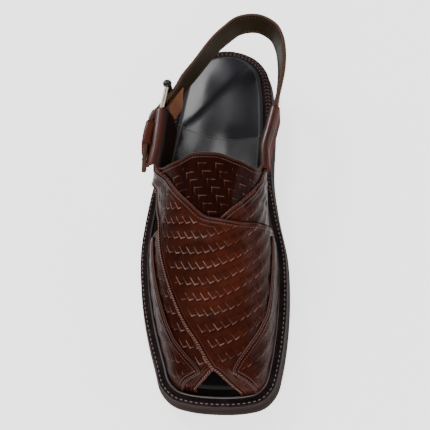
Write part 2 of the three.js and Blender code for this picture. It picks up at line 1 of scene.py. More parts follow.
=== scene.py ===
import math
import bpy
import numpy as np
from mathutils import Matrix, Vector


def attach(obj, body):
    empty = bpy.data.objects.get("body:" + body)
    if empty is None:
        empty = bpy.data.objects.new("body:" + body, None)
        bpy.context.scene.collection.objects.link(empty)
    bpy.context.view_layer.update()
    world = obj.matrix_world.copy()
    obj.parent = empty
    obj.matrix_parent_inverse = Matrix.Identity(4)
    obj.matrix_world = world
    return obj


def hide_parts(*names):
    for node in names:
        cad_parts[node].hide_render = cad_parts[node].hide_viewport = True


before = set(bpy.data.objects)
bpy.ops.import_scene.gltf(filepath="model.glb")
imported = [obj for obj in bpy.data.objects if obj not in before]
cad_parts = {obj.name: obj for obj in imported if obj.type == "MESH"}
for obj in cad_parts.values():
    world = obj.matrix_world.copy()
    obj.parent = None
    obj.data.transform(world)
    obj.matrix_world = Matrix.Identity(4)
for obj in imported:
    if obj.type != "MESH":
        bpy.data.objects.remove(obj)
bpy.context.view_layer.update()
mm = 0.001  # every table below is in millimetres
print("frame loaded:", len(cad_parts), "nodes")


# the shoe's form: plan of the welt's outer edge, side view, and the last

planForm = {
    "heelTip": (2, 149.2),
    "toeTip": (10, -149.2),
    "rows": [  # y, lateral x, medial x
        (146.6, -11, 15), (139, -23.5, 27.5), (126, -32.5, 36.4), (105, -36.7, 40.7), (70, -41, 42.4),
        (30, -47.2, 41.6), (0, -51.6, 45.6), (-34, -54, 52.4), (-64, -50.8, 54), (-94, -44, 52.8),
        (-122, -34.6, 49.2), (-136, -29.2, 45.6), (-144.4, -20.5, 38.5), (-148, -8, 27)],
}
sideForm = {  # y, z
    "weltTop": [(-152, 24.6), (-130, 20.5), (-110, 18.3), (-92, 17.3), (-50, 17), (-22, 18.2), (20, 22.3),
                (60, 26.3), (84, 28), (110, 29), (152, 29.5)],
    "soleUnder": [(-152, 9.2), (-130, 4.4), (-110, 1.5), (-92, 0), (-50, 0), (-22, 0), (20, 5), (60, 12.2),
                  (84, 14), (110, 14.6), (152, 15)],
}
lastForm = {
    "inset": 6.7, "drop": 3,
    "crest": [(-142.6, 21), (-140.6, 29), (-136, 36), (-130, 40.5), (-110, 47), (-80, 55.5), (-50, 65.5),
              (-20, 77), (8, 88), (20, 92), (40, 96)],
    "power": [(-143, 0.7), (-100, 0.8), (-60, 0.86), (-20, 0.9), (0, 0.91), (20, 0.92), (40, 0.92)],
    "shift": [(-143, 0), (-100, 1), (-60, 1.6), (-20, 2.4), (0, 2.8), (20, 3), (40, 3)],
    "lateral": [(-143, 0.2), (-100, 0.4), (-60, 0.5), (-20, -1.8), (-4, -0.8), (6, 4.4), (12, 5.6),
                (20, 6.5), (40, 7)],
    "medial": [(-143, 0.2), (-100, 0.4), (-60, 0.5), (-20, 3), (0, 8), (20, 11.5), (40, 12.5)],
}


def tableCurve(rows, at):  # cubic pieces through the rows; slopes are harmonic means and never overshoot
    key, val = np.array(rows, float).T
    at = np.clip(at, key[0], key[-1])
    rise = np.diff(val) / np.diff(key)
    both = rise[:-1] * rise[1:]
    mean = np.where(both > 0, 2 * both / np.where(both > 0, rise[:-1] + rise[1:], 1), 0)
    slope = np.concatenate([rise[:1], mean, rise[-1:]])
    i = np.clip(np.searchsorted(key, at, side="right") - 1, 0, len(key) - 2)
    h = key[i + 1] - key[i]
    s = (at - key[i]) / h
    start = val[i] * (1 + 2 * s) * (1 - s) ** 2 + slope[i] * h * s * (1 - s) ** 2
    return start + val[i + 1] * s * s * (3 - 2 * s) + slope[i + 1] * h * s * s * (s - 1)


def knotCurve(knots, u, closed=False):  # centripetal spline through the knots, u from 0 to 1
    knots = np.array(knots, float)
    n = len(knots)
    spans = n if closed else n - 1
    f = np.asarray(u, float) * spans
    i = np.clip(np.floor(f).astype(int), 0, spans - 1)
    w = (f - i)[:, None]
    if closed:
        p0, p1, p2, p3 = (knots[(i + k) % n] for k in (-1, 0, 1, 2))
    else:
        far = np.vstack([2 * knots[0] - knots[1], knots, 2 * knots[-1] - knots[-2]])
        p0, p1, p2, p3 = (far[i + k] for k in range(4))
    pairs = ((p0, p1), (p1, p2), (p2, p3))
    d0, d1, d2 = (np.sqrt(np.linalg.norm(b - a, axis=1))[:, None] for a, b in pairs)
    m1 = ((p1 - p0) / d0 - (p2 - p0) / (d0 + d1) + (p2 - p1) / d1) * d1
    m2 = ((p2 - p1) / d1 - (p3 - p1) / (d1 + d2) + (p3 - p2) / d2) * d1
    c2 = -3 * p1 + 3 * p2 - 2 * m1 - m2
    c3 = 2 * p1 - 2 * p2 + m1 + m2
    return p1 + m1 * w + c2 * w ** 2 + c3 * w ** 3


def smooth(a, b, v):  # 0 below a, 1 above b, eased between
    s = np.clip((v - a) / (b - a), 0, 1)
    return s * s * (3 - 2 * s)


def unit(v):  # vectors made one long
    return v / np.maximum(np.linalg.norm(v, axis=-1, keepdims=True), 1e-9)


def travelled(path):  # length along a path, summed from its first point
    return np.concatenate([[0], np.cumsum(np.linalg.norm(np.diff(path, axis=0), axis=1))])


def sampled(path, span, at):  # points of a path at given lengths along it
    return np.stack([np.interp(at, span, path[:, k]) for k in range(3)], 1)


def weltTop(y):  # height of the welt's upper face
    return tableCurve(sideForm["weltTop"], y)


def soleUnder(y):  # height of the outsole's underside
    return tableCurve(sideForm["soleUnder"], y)


ringCount = 400  # points of the outline, from the heel along the medial side
half = ringCount // 2  # the point at the toe
sideRows = planForm["rows"]
loopKnots = [planForm["heelTip"]] + [(medial, y) for y, lateral, medial in sideRows] + [planForm["toeTip"]]
loopKnots += [(lateral, y) for y, lateral, medial in sideRows[::-1]]
loopAt = np.arange(ringCount) / ringCount
loopBase = knotCurve(loopKnots, loopAt, True)
ahead, behind = (knotCurve(loopKnots, (loopAt + step) % 1, True) for step in (5e-4, -5e-4))
loopAlong = unit(ahead - behind)
loopIn = np.stack([loopAlong[:, 1], -loopAlong[:, 0]], 1)  # inward normal of the outline


def ring(inset, zAt):  # the outline moved inwards by inset, at the height zAt(y, x)
    p = loopBase + loopIn * np.broadcast_to(inset, ringCount)[:, None]
    return np.column_stack([p, np.broadcast_to(zAt(p[:, 1], p[:, 0]), ringCount)])


featherRing = ring(lastForm["inset"], lambda y, x: 0)
medialSide = featherRing[:half + 1][::-1]
lateralSide = np.vstack([featherRing[half:], featherRing[:1]])


def lastPoint(y, a):  # an arch at each y: x goes with sin^power, z with cos^power, and the flanks swell
    left = np.interp(y, lateralSide[:, 1], lateralSide[:, 0])
    right = np.interp(y, medialSide[:, 1], medialSide[:, 0])
    foot = weltTop(y) - lastForm["drop"]
    high = tableCurve(lastForm["crest"], y)
    power = tableCurve(lastForm["power"], y)
    mid = (left + right) / 2 + tableCurve(lastForm["shift"], y)
    turn = np.abs(a) * np.pi / 2
    out = np.sin(turn) ** power
    up = np.maximum(np.cos(turn), 0) ** power
    ripe = np.sin(2 * turn)
    x = np.where(a < 0, mid + (left - mid) * out - ripe * tableCurve(lastForm["lateral"], y),
                 mid + (right - mid) * out + ripe * tableCurve(lastForm["medial"], y))
    return np.stack(np.broadcast_arrays(x, y, foot + (high - foot) * up), -1)


def lastNormal(y, a):  # cross product of a short step across and a short step along
    alongY = lastPoint(y + 0.4, a) - lastPoint(y - 0.4, a)
    alongA = lastPoint(y, np.minimum(a + 0.006, 1)) - lastPoint(y, np.maximum(a - 0.006, -1))
    return unit(np.cross(alongA, alongY))


def lastAt(y, a, off):  # point of the last, moved off along its outward normal
    return lastPoint(y, a) + lastNormal(y, a) * np.asarray(off)[..., None]


# lengths on the last: girth from the crest line, and length along the crest
gridY = np.linspace(-142.4, 40, 366)
gridA = np.linspace(-1, 1, 241)
gridP = lastPoint(gridY[:, None], gridA[None, :])
middle = len(gridA) // 2
gridG = np.cumsum(np.linalg.norm(np.diff(gridP, axis=1), axis=2), 1)
gridG = np.concatenate([np.zeros((len(gridY), 1)), gridG], 1)
gridG -= gridG[:, middle:middle + 1]
crestV = travelled(gridP[:, middle])


def girth(y, a):  # bilinear look-up in the grid of lengths
    fy = np.clip((y - gridY[0]) / (gridY[1] - gridY[0]), 0, len(gridY) - 1.001)
    fa = np.clip((a + 1) / (gridA[1] - gridA[0]), 0, len(gridA) - 1.001)
    i, j = fy.astype(int), fa.astype(int)
    p, q = fy - i, fa - j
    low = gridG[i, j] * (1 - q) + gridG[i, j + 1] * q
    return low * (1 - p) + (gridG[i + 1, j] * (1 - q) + gridG[i + 1, j + 1] * q) * p


def crestLength(y):  # look-up of the length along the crest
    return np.interp(y, gridY, crestV)


# panels of the upper: edges on the last as rows of t, y, a; creases as depth, width, y, a along the trough

overPanel = {
    "low": [(0, -141.8, 0.93), (0.03, -141, 0.5), (0.06, -139.6, 0.24), (0.09, -136.6, 0.098),
            (0.12, -132.6, 0.02), (0.16, -126.4, -0.044), (0.22, -115, -0.135), (0.32, -100, -0.27),
            (0.44, -78, -0.39), (0.54, -60, -0.46), (0.64, -44, -0.51), (0.72, -30, -0.55),
            (0.78, -19, -0.63), (0.84, -8, -0.67), (0.9, 2, -0.71), (0.95, 12, -0.8), (1, 27, -0.8)],
    "high": [(0, -139.8, 1), (0.06, -136.6, 1), (0.22, -108, 1), (0.44, -62, 1), (0.56, -20, 1),
             (0.62, -30.2, 0.55), (0.67, -35, 0.25), (0.72, -34, 0.03), (0.78, -24, -0.15),
             (0.84, -12, -0.32), (0.9, 3, -0.48), (0.95, 15, -0.6), (1, 27, -0.68)],
    "inner": -2.9, "outer": 0, "rows": 331, "columns": 256, "border": 6.6, "roll": 0.5,
    "creases": [
        (0.55, 3.4, [(-26, -0.52), (-12, -0.68), (2, -0.8)]),
        (0.45, 2.8, [(-8, -0.46), (4, -0.6), (14, -0.76)]),
        (0.4, 3.0, [(-46, -0.56), (-33, -0.62), (-22, -0.72)]),
        (0.4, 3.6, [(-70, 0.55), (-58, 0.74), (-48, 0.9)]),
        (0.3, 4.5, [(-104, -0.12), (-99, 0.14), (-101, 0.4)]),
        (0.35, 4.0, [(-60, -0.3), (-52, -0.05), (-53, 0.22)])],
}
underPanel = {
    "low": [(0, -141.9, -0.93), (0.03, -141, -0.48), (0.06, -139.4, -0.225), (0.09, -136.2, -0.092),
            (0.12, -132, -0.02), (0.16, -125.6, 0.04), (0.22, -114, 0.13), (0.32, -99, 0.27),
            (0.44, -78, 0.39), (0.54, -60, 0.46), (0.64, -46, 0.55), (0.72, -34, 0.72), (0.78, -24, 0.82),
            (0.84, -10, 0.86), (0.9, 5, 0.86), (0.95, 16, 0.845), (1, 27, 0.8)],
    "high": [(0, -140, -1), (0.06, -136.6, -1), (0.22, -108, -1), (0.44, -62, -1), (0.56, -31, -1),
             (0.62, -33, -0.55), (0.67, -37, -0.25), (0.72, -36, 0.03), (0.78, -27, 0.2), (0.84, -14, 0.4),
             (0.9, 2, 0.56), (0.95, 15, 0.64), (1, 27, 0.68)],
    "inner": -3.9, "outer": -1.9, "rows": 331, "columns": 256, "border": 6.6, "roll": 0.5,
    "creases": [
        (0.7, 2.6, [(-21, 0.36), (-14, 0.54), (-9, 0.74)]),
        (0.6, 2.3, [(-8, 0.5), (-1, 0.63), (4, 0.78)]),
        (0.5, 2.2, [(3, 0.6), (10, 0.7), (13, 0.8)])],
}
tonguePanel = {
    "low": [(0, -40, -0.5), (0.5, -70, 0), (1, -40, 0.58)],
    "high": [(0, 19, -0.64), (0.05, 9, -0.54), (0.11, 5, -0.42), (0.2, 4.6, -0.29), (0.4, 8, -0.08),
             (0.54, 8, 0.06), (0.72, 5.5, 0.24), (0.86, 4.8, 0.41), (0.93, 7, 0.52), (1, 18, 0.64)],
    "thick": 1.9, "underOver": -1.6, "underUnder": -3.1,  # its depth under either band
    "rows": 211, "columns": 196, "border": 7, "roll": 0.3,
    "creases": [
        (0.5, 4.0, [(-28, -0.26), (-10, -0.22), (3, -0.2)]),
        (0.5, 4.0, [(-26, 0.3), (-8, 0.34), (3, 0.38)])],
}
wingLateralPanel = {
    "low": [(0, -139.9, -0.95), (0.04, -139.2, -0.64), (0.08, -137, -0.42), (0.16, -131.5, -0.12),
            (0.3, -119, -0.3), (0.4, -109, -0.43), (0.55, -92, -0.53), (0.7, -72, -0.6),
            (0.85, -51, -0.65), (1, -34, -0.7)],
    "high": [(0, -139, -1), (0.16, -131, -1), (0.55, -92, -1), (1, -33, -1)],
    "inner": -1.75, "outer": -0.45, "rows": 301, "columns": 91, "border": 5.2, "roll": 0.22,
    "creases": [(0.35, 2.6, [(-98, -0.72), (-74, -0.8), (-52, -0.84)])],
}
wingMedialPanel = {
    "low": [(0, -139.4, 0.95), (0.04, -138.2, 0.64), (0.08, -135.8, 0.42), (0.16, -130.5, 0.16),
            (0.3, -114, 0.34), (0.4, -104, 0.47), (0.55, -88, 0.62), (0.7, -73, 0.67), (0.85, -53, 0.71),
            (1, -32, 0.74)],
    "high": [(0, -138.6, 1), (0.16, -131, 1), (0.55, -92, 1), (1, -33, 1)],
    "inner": -0.1, "outer": 1.05, "rows": 301, "columns": 91, "border": 5.2, "roll": 0.22,
    "creases": [(0.35, 2.6, [(-96, 0.76), (-74, 0.83), (-54, 0.88)])],
}


def edgeCurve(panel, side, t):  # y and a along one edge
    return [tableCurve([(row[0], row[k]) for row in panel[side]], t) for k in (1, 2)]


def onPanel(panel, t, s):  # straight line in (y, a) from the low edge, s = 0, to the high edge, s = 1
    lowY, lowA = edgeCurve(panel, "low", t)
    highY, highA = edgeCurve(panel, "high", t)
    return lowY + (highY - lowY) * s, lowA + (highA - lowA) * s


def edgeLine(panel, side):  # dense points along one edge
    return lastPoint(*edgeCurve(panel, side, np.linspace(0, 1, 420)))


def panelWidth(panel, t):  # length of each cross line on the last
    y, a = onPanel(panel, t[:, None], np.linspace(0, 1, 30)[None, :])
    return np.linalg.norm(np.diff(lastPoint(y, a), axis=1), axis=2).sum(1)


# distances of the columns from an edge
rimColumns = np.array([0, 0.15, 0.35, 0.6, 0.9, 1.2, 1.5, 1.8, 2.1, 2.5, 2.9, 3.3, 3.7, 4.2])


def panelGrid(panel):  # columns crowd at both edges, where the cut edge is rounded and the rim is rolled
    t = np.linspace(0, 1, panel["rows"])
    wide = np.maximum(panelWidth(panel, t), 4)[:, None]
    edge = rimColumns * np.minimum(1 / wide, 0.45 / rimColumns[-1])
    inside = np.linspace(0, 1, panel["columns"] - 2 * len(rimColumns) + 2)[1:-1]
    between = edge[:, -1:] + (1 - 2 * edge[:, -1:]) * inside
    s = np.concatenate([edge, between, 1 - edge[:, ::-1]], 1)
    y, a = onPanel(panel, t[:, None], s)
    return t[:, None] + 0 * s, y, a


def nearest(points, line):  # distance of each point to the nearest point of a dense line, in 40 portions
    flat = points.reshape(-1, 3).astype(np.float32)
    line = line.astype(np.float32)
    portions = np.array_split(flat, 40)
    best = [np.sqrt(((part[:, None, :] - line[None]) ** 2).sum(2).min(1)) for part in portions]
    return np.concatenate(best).reshape(points.shape[:-1])


# the weave: wide strips pass over two and under two narrow ones, each a step further on than its neighbour

weave = {
    "wide": 5.2, "narrow": 2.95, "tongueWide": 5.6, "tongueNarrow": 3.1, "lean": 31,
    "bottom": -9, "smile": (0.0085, 0.0112),  # rows sag to this girth, lateral and medial
    "high": 0.42, "crown": 0.35, "dip": 0.45, "ledge": 0.25, "sunk": 0.12, "swell": 0.17,
    "cross": 0.5, "square": 1.0,  # the step, in narrow strips
}


def weaveCoords(y, a, kind):  # counted in strips: p over the wide ones, q over the narrow ones
    u = girth(y, a)
    v = crestLength(y)
    if kind == "square":  # wide strips lie across the tongue, narrow ones along it
        return 60 + v / weave["tongueWide"], 60 - u / weave["tongueNarrow"]
    aside = u - weave["bottom"]
    v = v - np.where(aside < 0, *weave["smile"]) * aside ** 2
    turn = math.asin(weave["cross"] * weave["narrow"] / weave["wide"])  # crossings run straight across
    p = (u + v * math.tan(math.radians(weave["lean"]))) / weave["wide"]  # leaning outwards to the toe
    return p + 80, (math.sin(turn) * u - math.cos(turn) * v) / weave["narrow"] + 80


def weaveHeight(p, q, step):  # crowned across each strip, dipping where its float ends, with a ledge there
    i, j = np.floor(p), np.floor(q)
    phase = np.mod(q - step * i, 4)
    first = phase < 2
    along = np.where(first, phase - 1, 0)
    crown = np.where(first, np.abs(2 * (p - i - 0.5)), 0.8 * np.abs(2 * (q - j - 0.5)))
    rise = weave["ledge"] * along - weave["dip"] * np.abs(along) ** 8
    return 1 + rise - weave["crown"] * crown ** 6 - weave["sunk"] * (~first)


# meshes

# one mesh object from points and faces, turned outwards, riding on the body and standing for its CAD nodes
def addPiece(name, points, quads, material, slot, stands=(), tris=None, attributes=None, sharp=50):
    points = np.asarray(points, float).reshape(-1, 3)
    quads = np.asarray(quads, np.int64).reshape(-1, 4)
    tris = np.zeros((0, 3), np.int64) if tris is None else np.asarray(tris, np.int64).reshape(-1, 3)
    corner = np.concatenate([quads[:, [0, 1, 2]], quads[:, [0, 2, 3]], tris])
    first, second, third = (points[corner[:, k]] for k in range(3))
    if np.einsum("ij,ij->", first, np.cross(second, third)) < 0:  # the volume is negative inside out
        quads, tris = quads[:, ::-1], tris[:, ::-1]
    mesh = bpy.data.meshes.new(name)
    mesh.from_pydata(points * mm, [], quads.tolist() + tris.tolist())
    mesh.validate()
    for key, value in (attributes or {}).items():
        layer = mesh.attributes.new(key, "FLOAT_VECTOR", "POINT")
        layer.data.foreach_set("vector", np.asarray(value, np.float32).ravel())
    mesh.polygons.foreach_set("use_smooth", np.ones(len(mesh.polygons), bool))
    mesh.set_sharp_from_angle(angle=math.radians(sharp))
    mesh.materials.append(materials[material])
    piece = bpy.data.objects.new(name, mesh)
    bpy.context.scene.collection.objects.link(piece)
    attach(piece, "root")
    if stands:
        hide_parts(*stands)


def gridQuads(n, m, start=0, wrap=False, closed=False):  # faces of n rows of m points, closed where asked
    i, j = np.meshgrid(np.arange(n if closed else n - 1), np.arange(m if wrap else m - 1), indexing="ij")
    below, beside = (i + 1) % n, (j + 1) % m
    corners = [i * m + j, i * m + beside, below * m + beside, below * m + j]
    return start + np.stack(corners, -1).reshape(-1, 4)


def skinQuads(n, m):  # side wall of n closed outlines of m points, and both ends folded shut as strips
    k = np.arange(m // 2 - 1)
    end = np.stack([k, k + 1, m - 2 - k, m - 1 - k], -1)
    return np.concatenate([gridQuads(n, m, 0, True), end[:, ::-1], end + (n - 1) * m])


def addBar(name, grid, *rest, **more):  # a piece from closed outlines in rows
    addPiece(name, grid, skinQuads(*grid.shape[:2]), *rest, **more)


def slab(outer, inner, step):  # a fine front and a back with every step-th point, joined round the rim
    n, m = outer.shape[:2]
    inner = inner[::step, ::step]
    backN, backM = inner.shape[:2]
    i, j = np.meshgrid(np.arange(n), np.arange(m), indexing="ij")
    ids = np.arange(n * m).reshape(n, m)
    backIds = n * m + np.round(i / step).astype(int) * backM + np.round(j / step).astype(int)
    walk = lambda g: np.concatenate([g[0, :-1], g[:-1, -1], g[-1, :0:-1], g[:0:-1, 0]])
    rim, behind = walk(ids), walk(backIds)
    nextRim, nextBehind = np.roll(rim, -1), np.roll(behind, -1)
    moved = behind != nextBehind
    sides = np.stack([nextRim, rim, behind, nextBehind], -1)[moved]
    tris = np.stack([nextRim, rim, behind], -1)[~moved]
    quads = np.concatenate([gridQuads(n, m), gridQuads(backN, backM, n * m)[:, ::-1], sides])
    return np.concatenate([outer.reshape(-1, 3), inner.reshape(-1, 3)]), quads, tris


def capRows(points, start, columns, zAt):  # rows of points from the medial to the lateral side of one ring
    ringIds = start + np.arange(ringCount)
    right, left = ringIds[1:half], ringIds[:half:-1]
    w = np.linspace(0, 1, columns + 1)[None, 1:-1, None]
    inside = points[right][:, None] * (1 - w) + points[left][:, None] * w
    inside[..., 2] = zAt(inside[..., 1], inside[..., 0])
    ids = len(points) + np.arange(inside.shape[0] * inside.shape[1]).reshape(inside.shape[:2])
    ids = np.concatenate([right[:, None], ids, left[:, None]], 1)
    quads = np.stack([ids[:-1, :-1], ids[1:, :-1], ids[1:, 1:], ids[:-1, 1:]], -1).reshape(-1, 4)
    k = np.arange(columns)
    heelFan = np.stack([np.full(columns, start), ids[0, k], ids[0, k + 1]], -1)
    toeFan = np.stack([np.full(columns, start + half), ids[-1, k + 1], ids[-1, k]], -1)
    return np.concatenate([points, inside.reshape(-1, 3)]), quads, np.concatenate([heelFan, toeFan])


def plate(rings, lowZ, highZ, columns):  # rings stacked into a side wall, closed below and above
    n = len(rings)
    wall = gridQuads(n, ringCount, 0, True)[:, ::-1]
    points, lowQuads, lowTris = capRows(np.concatenate(rings), 0, columns, lowZ)
    points, highQuads, highTris = capRows(points, (n - 1) * ringCount, columns, highZ)
    quads = np.concatenate([wall, lowQuads, highQuads[:, ::-1]])
    return points, quads, np.concatenate([lowTris, highTris[:, ::-1]])


def routed(table, count):  # evenly counted points and leans along a table of x, y, z, lean
    table = np.array(table, float)
    u = np.linspace(0, 1, count)
    lean = np.interp(u * (len(table) - 1), np.arange(len(table)), table[:, 3])
    return knotCurve(table[:, :3], u), lean, u


def carried(line, lean, profile):  # rows of an outline carried along a line, its height leaning outwards
    along = unit(np.gradient(line, axis=0))
    outward = unit(np.stack([along[:, 1], -along[:, 0], 0 * along[:, 0]], 1))
    tilt = np.radians(lean)[:, None]
    rise = np.array([[0, 0, 1]]) * np.cos(tilt) + outward * np.sin(tilt)
    across = unit(np.cross(along, rise))
    return line[:, None] + across[:, None] * profile[..., :1] + rise[:, None] * profile[..., 1:2]


def roundedBar(wide, high, r, per):  # closed outline of a bar, each corner a quarter circle of per points
    turn = np.linspace(0, np.pi / 2, per)
    corner = np.stack([np.cos(turn), np.sin(turn)], 1) * r
    parts = []
    for k, (sx, sy) in enumerate(((1, 1), (-1, 1), (-1, -1), (1, -1))):
        c, s = math.cos(k * math.pi / 2), math.sin(k * math.pi / 2)
        parts.append(corner @ np.array([[c, s], [-s, c]]) + (sx * (wide / 2 - r), sy * (high / 2 - r)))
    return np.concatenate(parts)


def roundBar(path, r, per):  # round wire along a path, per points about it
    along = unit(np.gradient(path, axis=0))
    side = unit(np.cross(along, np.array([0.21, 0.34, 0.91])))[:, None]
    up = np.cross(side, along[:, None])
    v = np.linspace(0, 2 * np.pi, per, endpoint=False)[None, :, None]
    r = np.broadcast_to(r, len(path))[:, None, None]
    return path[:, None] + r * (side * np.cos(v) + up * np.sin(v))


# shader maths: a socket that takes part in sums

class Shade:
    def __init__(self, tree, out=None):
        self.tree, self.out = tree, out

    def node(self, kind, settings=None, inputs=None, out=0):  # any node: settings first, then its sockets
        made = self.tree.nodes.new(kind)
        for key, value in (settings or {}).items():
            setattr(made, key, value)
        for key, value in (inputs or {}).items():
            socket = made.inputs[key]
            if isinstance(value, Shade):
                self.tree.links.new(value.out, socket)
            else:
                socket.default_value = (*value, 1) if socket.type == "RGBA" else value
        return Shade(self.tree, made.outputs[out])

    def math(self, operation, *others):  # one Math node
        return self.node("ShaderNodeMath", {"operation": operation}, dict(enumerate((self, *others))))

    def __add__(self, other):
        return self.math("ADD", other)

    __radd__ = __add__

    def __sub__(self, other):
        return self.math("SUBTRACT", other)

    def __rsub__(self, other):
        return (self * -1) + other

    def __mul__(self, other):
        return self.math("MULTIPLY", other)

    __rmul__ = __mul__

    def __pow__(self, other):
        return self.math("POWER", other)

    def __mod__(self, other):
        return self.math("FLOORED_MODULO", other)

    def __lt__(self, other):
        return self.math("LESS_THAN", other)

    def __gt__(self, other):
        return self.math("GREATER_THAN", other)

    def __abs__(self):
        return self.math("ABSOLUTE")

    def floor(self):
        return self.math("FLOOR")

    def most(self, other):  # the larger of two
        return self.math("MAXIMUM", other)

    def eased(self, a, b):  # 0 at a, 1 at b
        return self.node("ShaderNodeMapRange", {"interpolation_type": "SMOOTHSTEP"},
                         {"Value": self, "From Min": a, "From Max": b})

    def within(self, a, b, c, d):  # rises from a to b, falls from c to d
        return self.eased(a, b) * (1 - self.eased(c, d))

    def pick(self, part):  # one part of a vector
        return self.node("ShaderNodeSeparateXYZ", None, {0: self}, part)

    def parts(self):
        return [self.pick(k) for k in range(3)]

    def tint(self, first, second):  # colour mix with this value as factor
        return self.node("ShaderNodeMix", {"data_type": "RGBA"}, {0: self, 6: first, 7: second}, 2)

    def noise(self, scale, detail=3.0, rough=0.55):
        return self.node("ShaderNodeTexNoise", None,
                         {"Vector": self, "Scale": scale, "Detail": detail, "Roughness": rough}, 0)

    def stretched(self, factors):
        return self.node("ShaderNodeVectorMath", {"operation": "MULTIPLY"}, {0: self, 1: factors})

    def cells(self, scale):  # distance to the border between cells
        return self.node("ShaderNodeTexVoronoi", {"feature": "DISTANCE_TO_EDGE"},
                         {"Vector": self, "Scale": scale}, 0)

    def attribute(self, name):
        return self.node("ShaderNodeAttribute", {"attribute_name": name}, None, "Vector")


def newMaterial(name, shader):  # the shader gives the sockets, and a bump as height, strength, distance
    material = bpy.data.materials.new(name)
    material.use_nodes = True
    tree = material.node_tree
    tree.nodes.clear()
    base = Shade(tree)
    base.place = base.node("ShaderNodeTexCoord", None, None, "Object")
    sockets = shader(base)
    bump = sockets.pop("bump", None)
    if bump is not None:
        inputs = dict(zip(("Height", "Strength", "Distance"), bump))
        sockets["Normal"] = base.node("ShaderNodeBump", None, inputs)
    surface = base.node("ShaderNodeBsdfPrincipled", None, sockets)
    output = tree.nodes.new("ShaderNodeOutputMaterial")
    tree.links.new(surface.out, output.inputs["Surface"])
    return material


# cut: pale raw edges, and the painted highlights of the weave; rim: painted highlight on the rolled rim
# and seam ridge
leatherLook = {
    "base": (0.074, 0.0132, 0.0052), "deep": (0.0145, 0.0026, 0.0014), "dark": (0.004, 0.001, 0.0007),
    "cut": (0.29, 0.16, 0.13), "rim": (0.095, 0.031, 0.022), "rough": 0.3, "step": weave["cross"],
}
wingLook = {**leatherLook, "rim": (0.045, 0.02, 0.0175), "cut": (0.2, 0.11, 0.095)}
# the tongue's base and deep tones are darker as painted shade
tongueShadedLook = {**leatherLook, "base": (0.036, 0.0055, 0.002), "deep": (0.012, 0.002, 0.001),
              "cut": (0.2, 0.115, 0.09), "step": weave["square"]}
loopLook = {**leatherLook, "base": (0.068, 0.0105, 0.0046), "rough": 0.5, "worn": 0.1}


def leatherGrain(base):  # pores as cells, a slow drift of shade, and fine grain
    pores = base.place.cells(900).eased(0.0, 0.25)
    drift = base.place.noise(38, 3) * 0.6 + base.place.noise(170, 2) * 0.4
    return pores, drift, base.place.noise(700, 2)


def leatherRim(tone, away, look, amount):  # pale raw edge, painted highlight on the tops of rim and seam ridge, painted shade in the groove
    tone = ((1 - away.eased(0.1, 0.45)) * 0.7 * amount).tint(tone, look["cut"])
    roll = away.within(0.5, 0.9, 1.1, 1.6)
    seam = away.within(3.1, 3.4, 3.6, 3.9)
    tone = ((roll * 0.55 + seam * 0.4) * amount).tint(tone, look["rim"])
    return (away.within(1.9, 2.2, 2.5, 2.8) * 0.5 * amount).tint(tone, look["dark"])


def wovenShader(look):  # strips coloured by the same count as their relief: dark seams as painted shade, pale cut edges with painted highlights
    def shader(base):
        p, q, field = base.attribute("weave").parts()
        away, sideEdgeHighlight, endEdgeHighlight = base.attribute("edge").parts()
        # the wear attribute: painted highlight along the crest, painted shade in the crease troughs and on
        # the lateral flank
        crest, creaseShade, flankShade = base.attribute("wear").parts()
        pores, drift, fine = leatherGrain(base)
        i, j = p.floor(), q.floor()
        phase = (q - i * look["step"]) % 4
        first = phase < 2
        across = (q - j - 0.5) * (1 - first) * 0.9 + (p - i - 0.5) * first
        along = (phase - 1) * first
        flank = across * ((sideEdgeHighlight > 0) * 2 - 1)  # which side of the wide strips shows its cut edge and painted highlight
        sideEdgeHighlight = abs(sideEdgeHighlight)
        # side, end and corner marks: pale cut edges brightened as painted highlights, the corners as
        # painted glints
        side = flank.within(0.33, 0.38, 0.44, 0.48) * sideEdgeHighlight
        end = along.within(0.71, 0.78, 0.92, 1.0) * endEdgeHighlight * (0.12 + 0.88 * flank.eased(-0.32, 0.0))
        corner = along.within(0.5, 0.8, 0.94, 1.0) * flank.within(0.24, 0.36, 0.46, 0.5)
        cutEdgeAndHighlight = side.most(end) * (0.2 + 0.8 * base.place.noise(150, 2).eased(0.38, 0.6))
        cutEdgeAndHighlight = cutEdgeAndHighlight.most(corner * sideEdgeHighlight * 0.8) * first * field * (1 - flankShade * 0.6)
        # seam: painted shade in the gaps between strips
        seam = abs(across).eased(0.44, 0.5).most(abs(along).eased(0.92, 1.0)) * field
        shade = (1 - along.eased(-1.0, -0.55)) * first * (1 - sideEdgeHighlight * 0.6)
        under = (1 - phase.eased(2.0, 2.8)) * (1 - first) * 0.8  # the next row lies in its shadow
        shade = shade.most(under) * field
        # painted highlight: the leather and its pale marks are lighter along the crest
        tone = (0.3 + 0.7 * drift.eased(0.3, 0.62)) * (0.15 + 0.85 * crest)
        tone = tone.tint(look["deep"], look["base"])
        paintedShade = (seam * (0.6 + 0.35 * flankShade)).most(shade * (0.65 + 0.3 * flankShade)).most(creaseShade * 0.45)
        tone = paintedShade.tint(tone, look["dark"])
        tone = (cutEdgeAndHighlight * (0.6 + 0.35 * crest)).tint(tone, look["cut"])
        tone = leatherRim(tone, away, look, 1)
        rough = look["rough"] + 0.12 * fine - 0.06 * (1 - pores) + 0.2 * seam + 0.1 * drift
        height = pores * 0.08 + fine * 0.15 - seam * 0.7 + cutEdgeAndHighlight * 0.3
        return {"Base Color": tone, "Roughness": rough, "bump": (height, 0.35, 0.0003),
                "Coat Weight": 0.2 * crest, "Coat Roughness": 0.3, "Specular IOR Level": 0.05}
    return shader


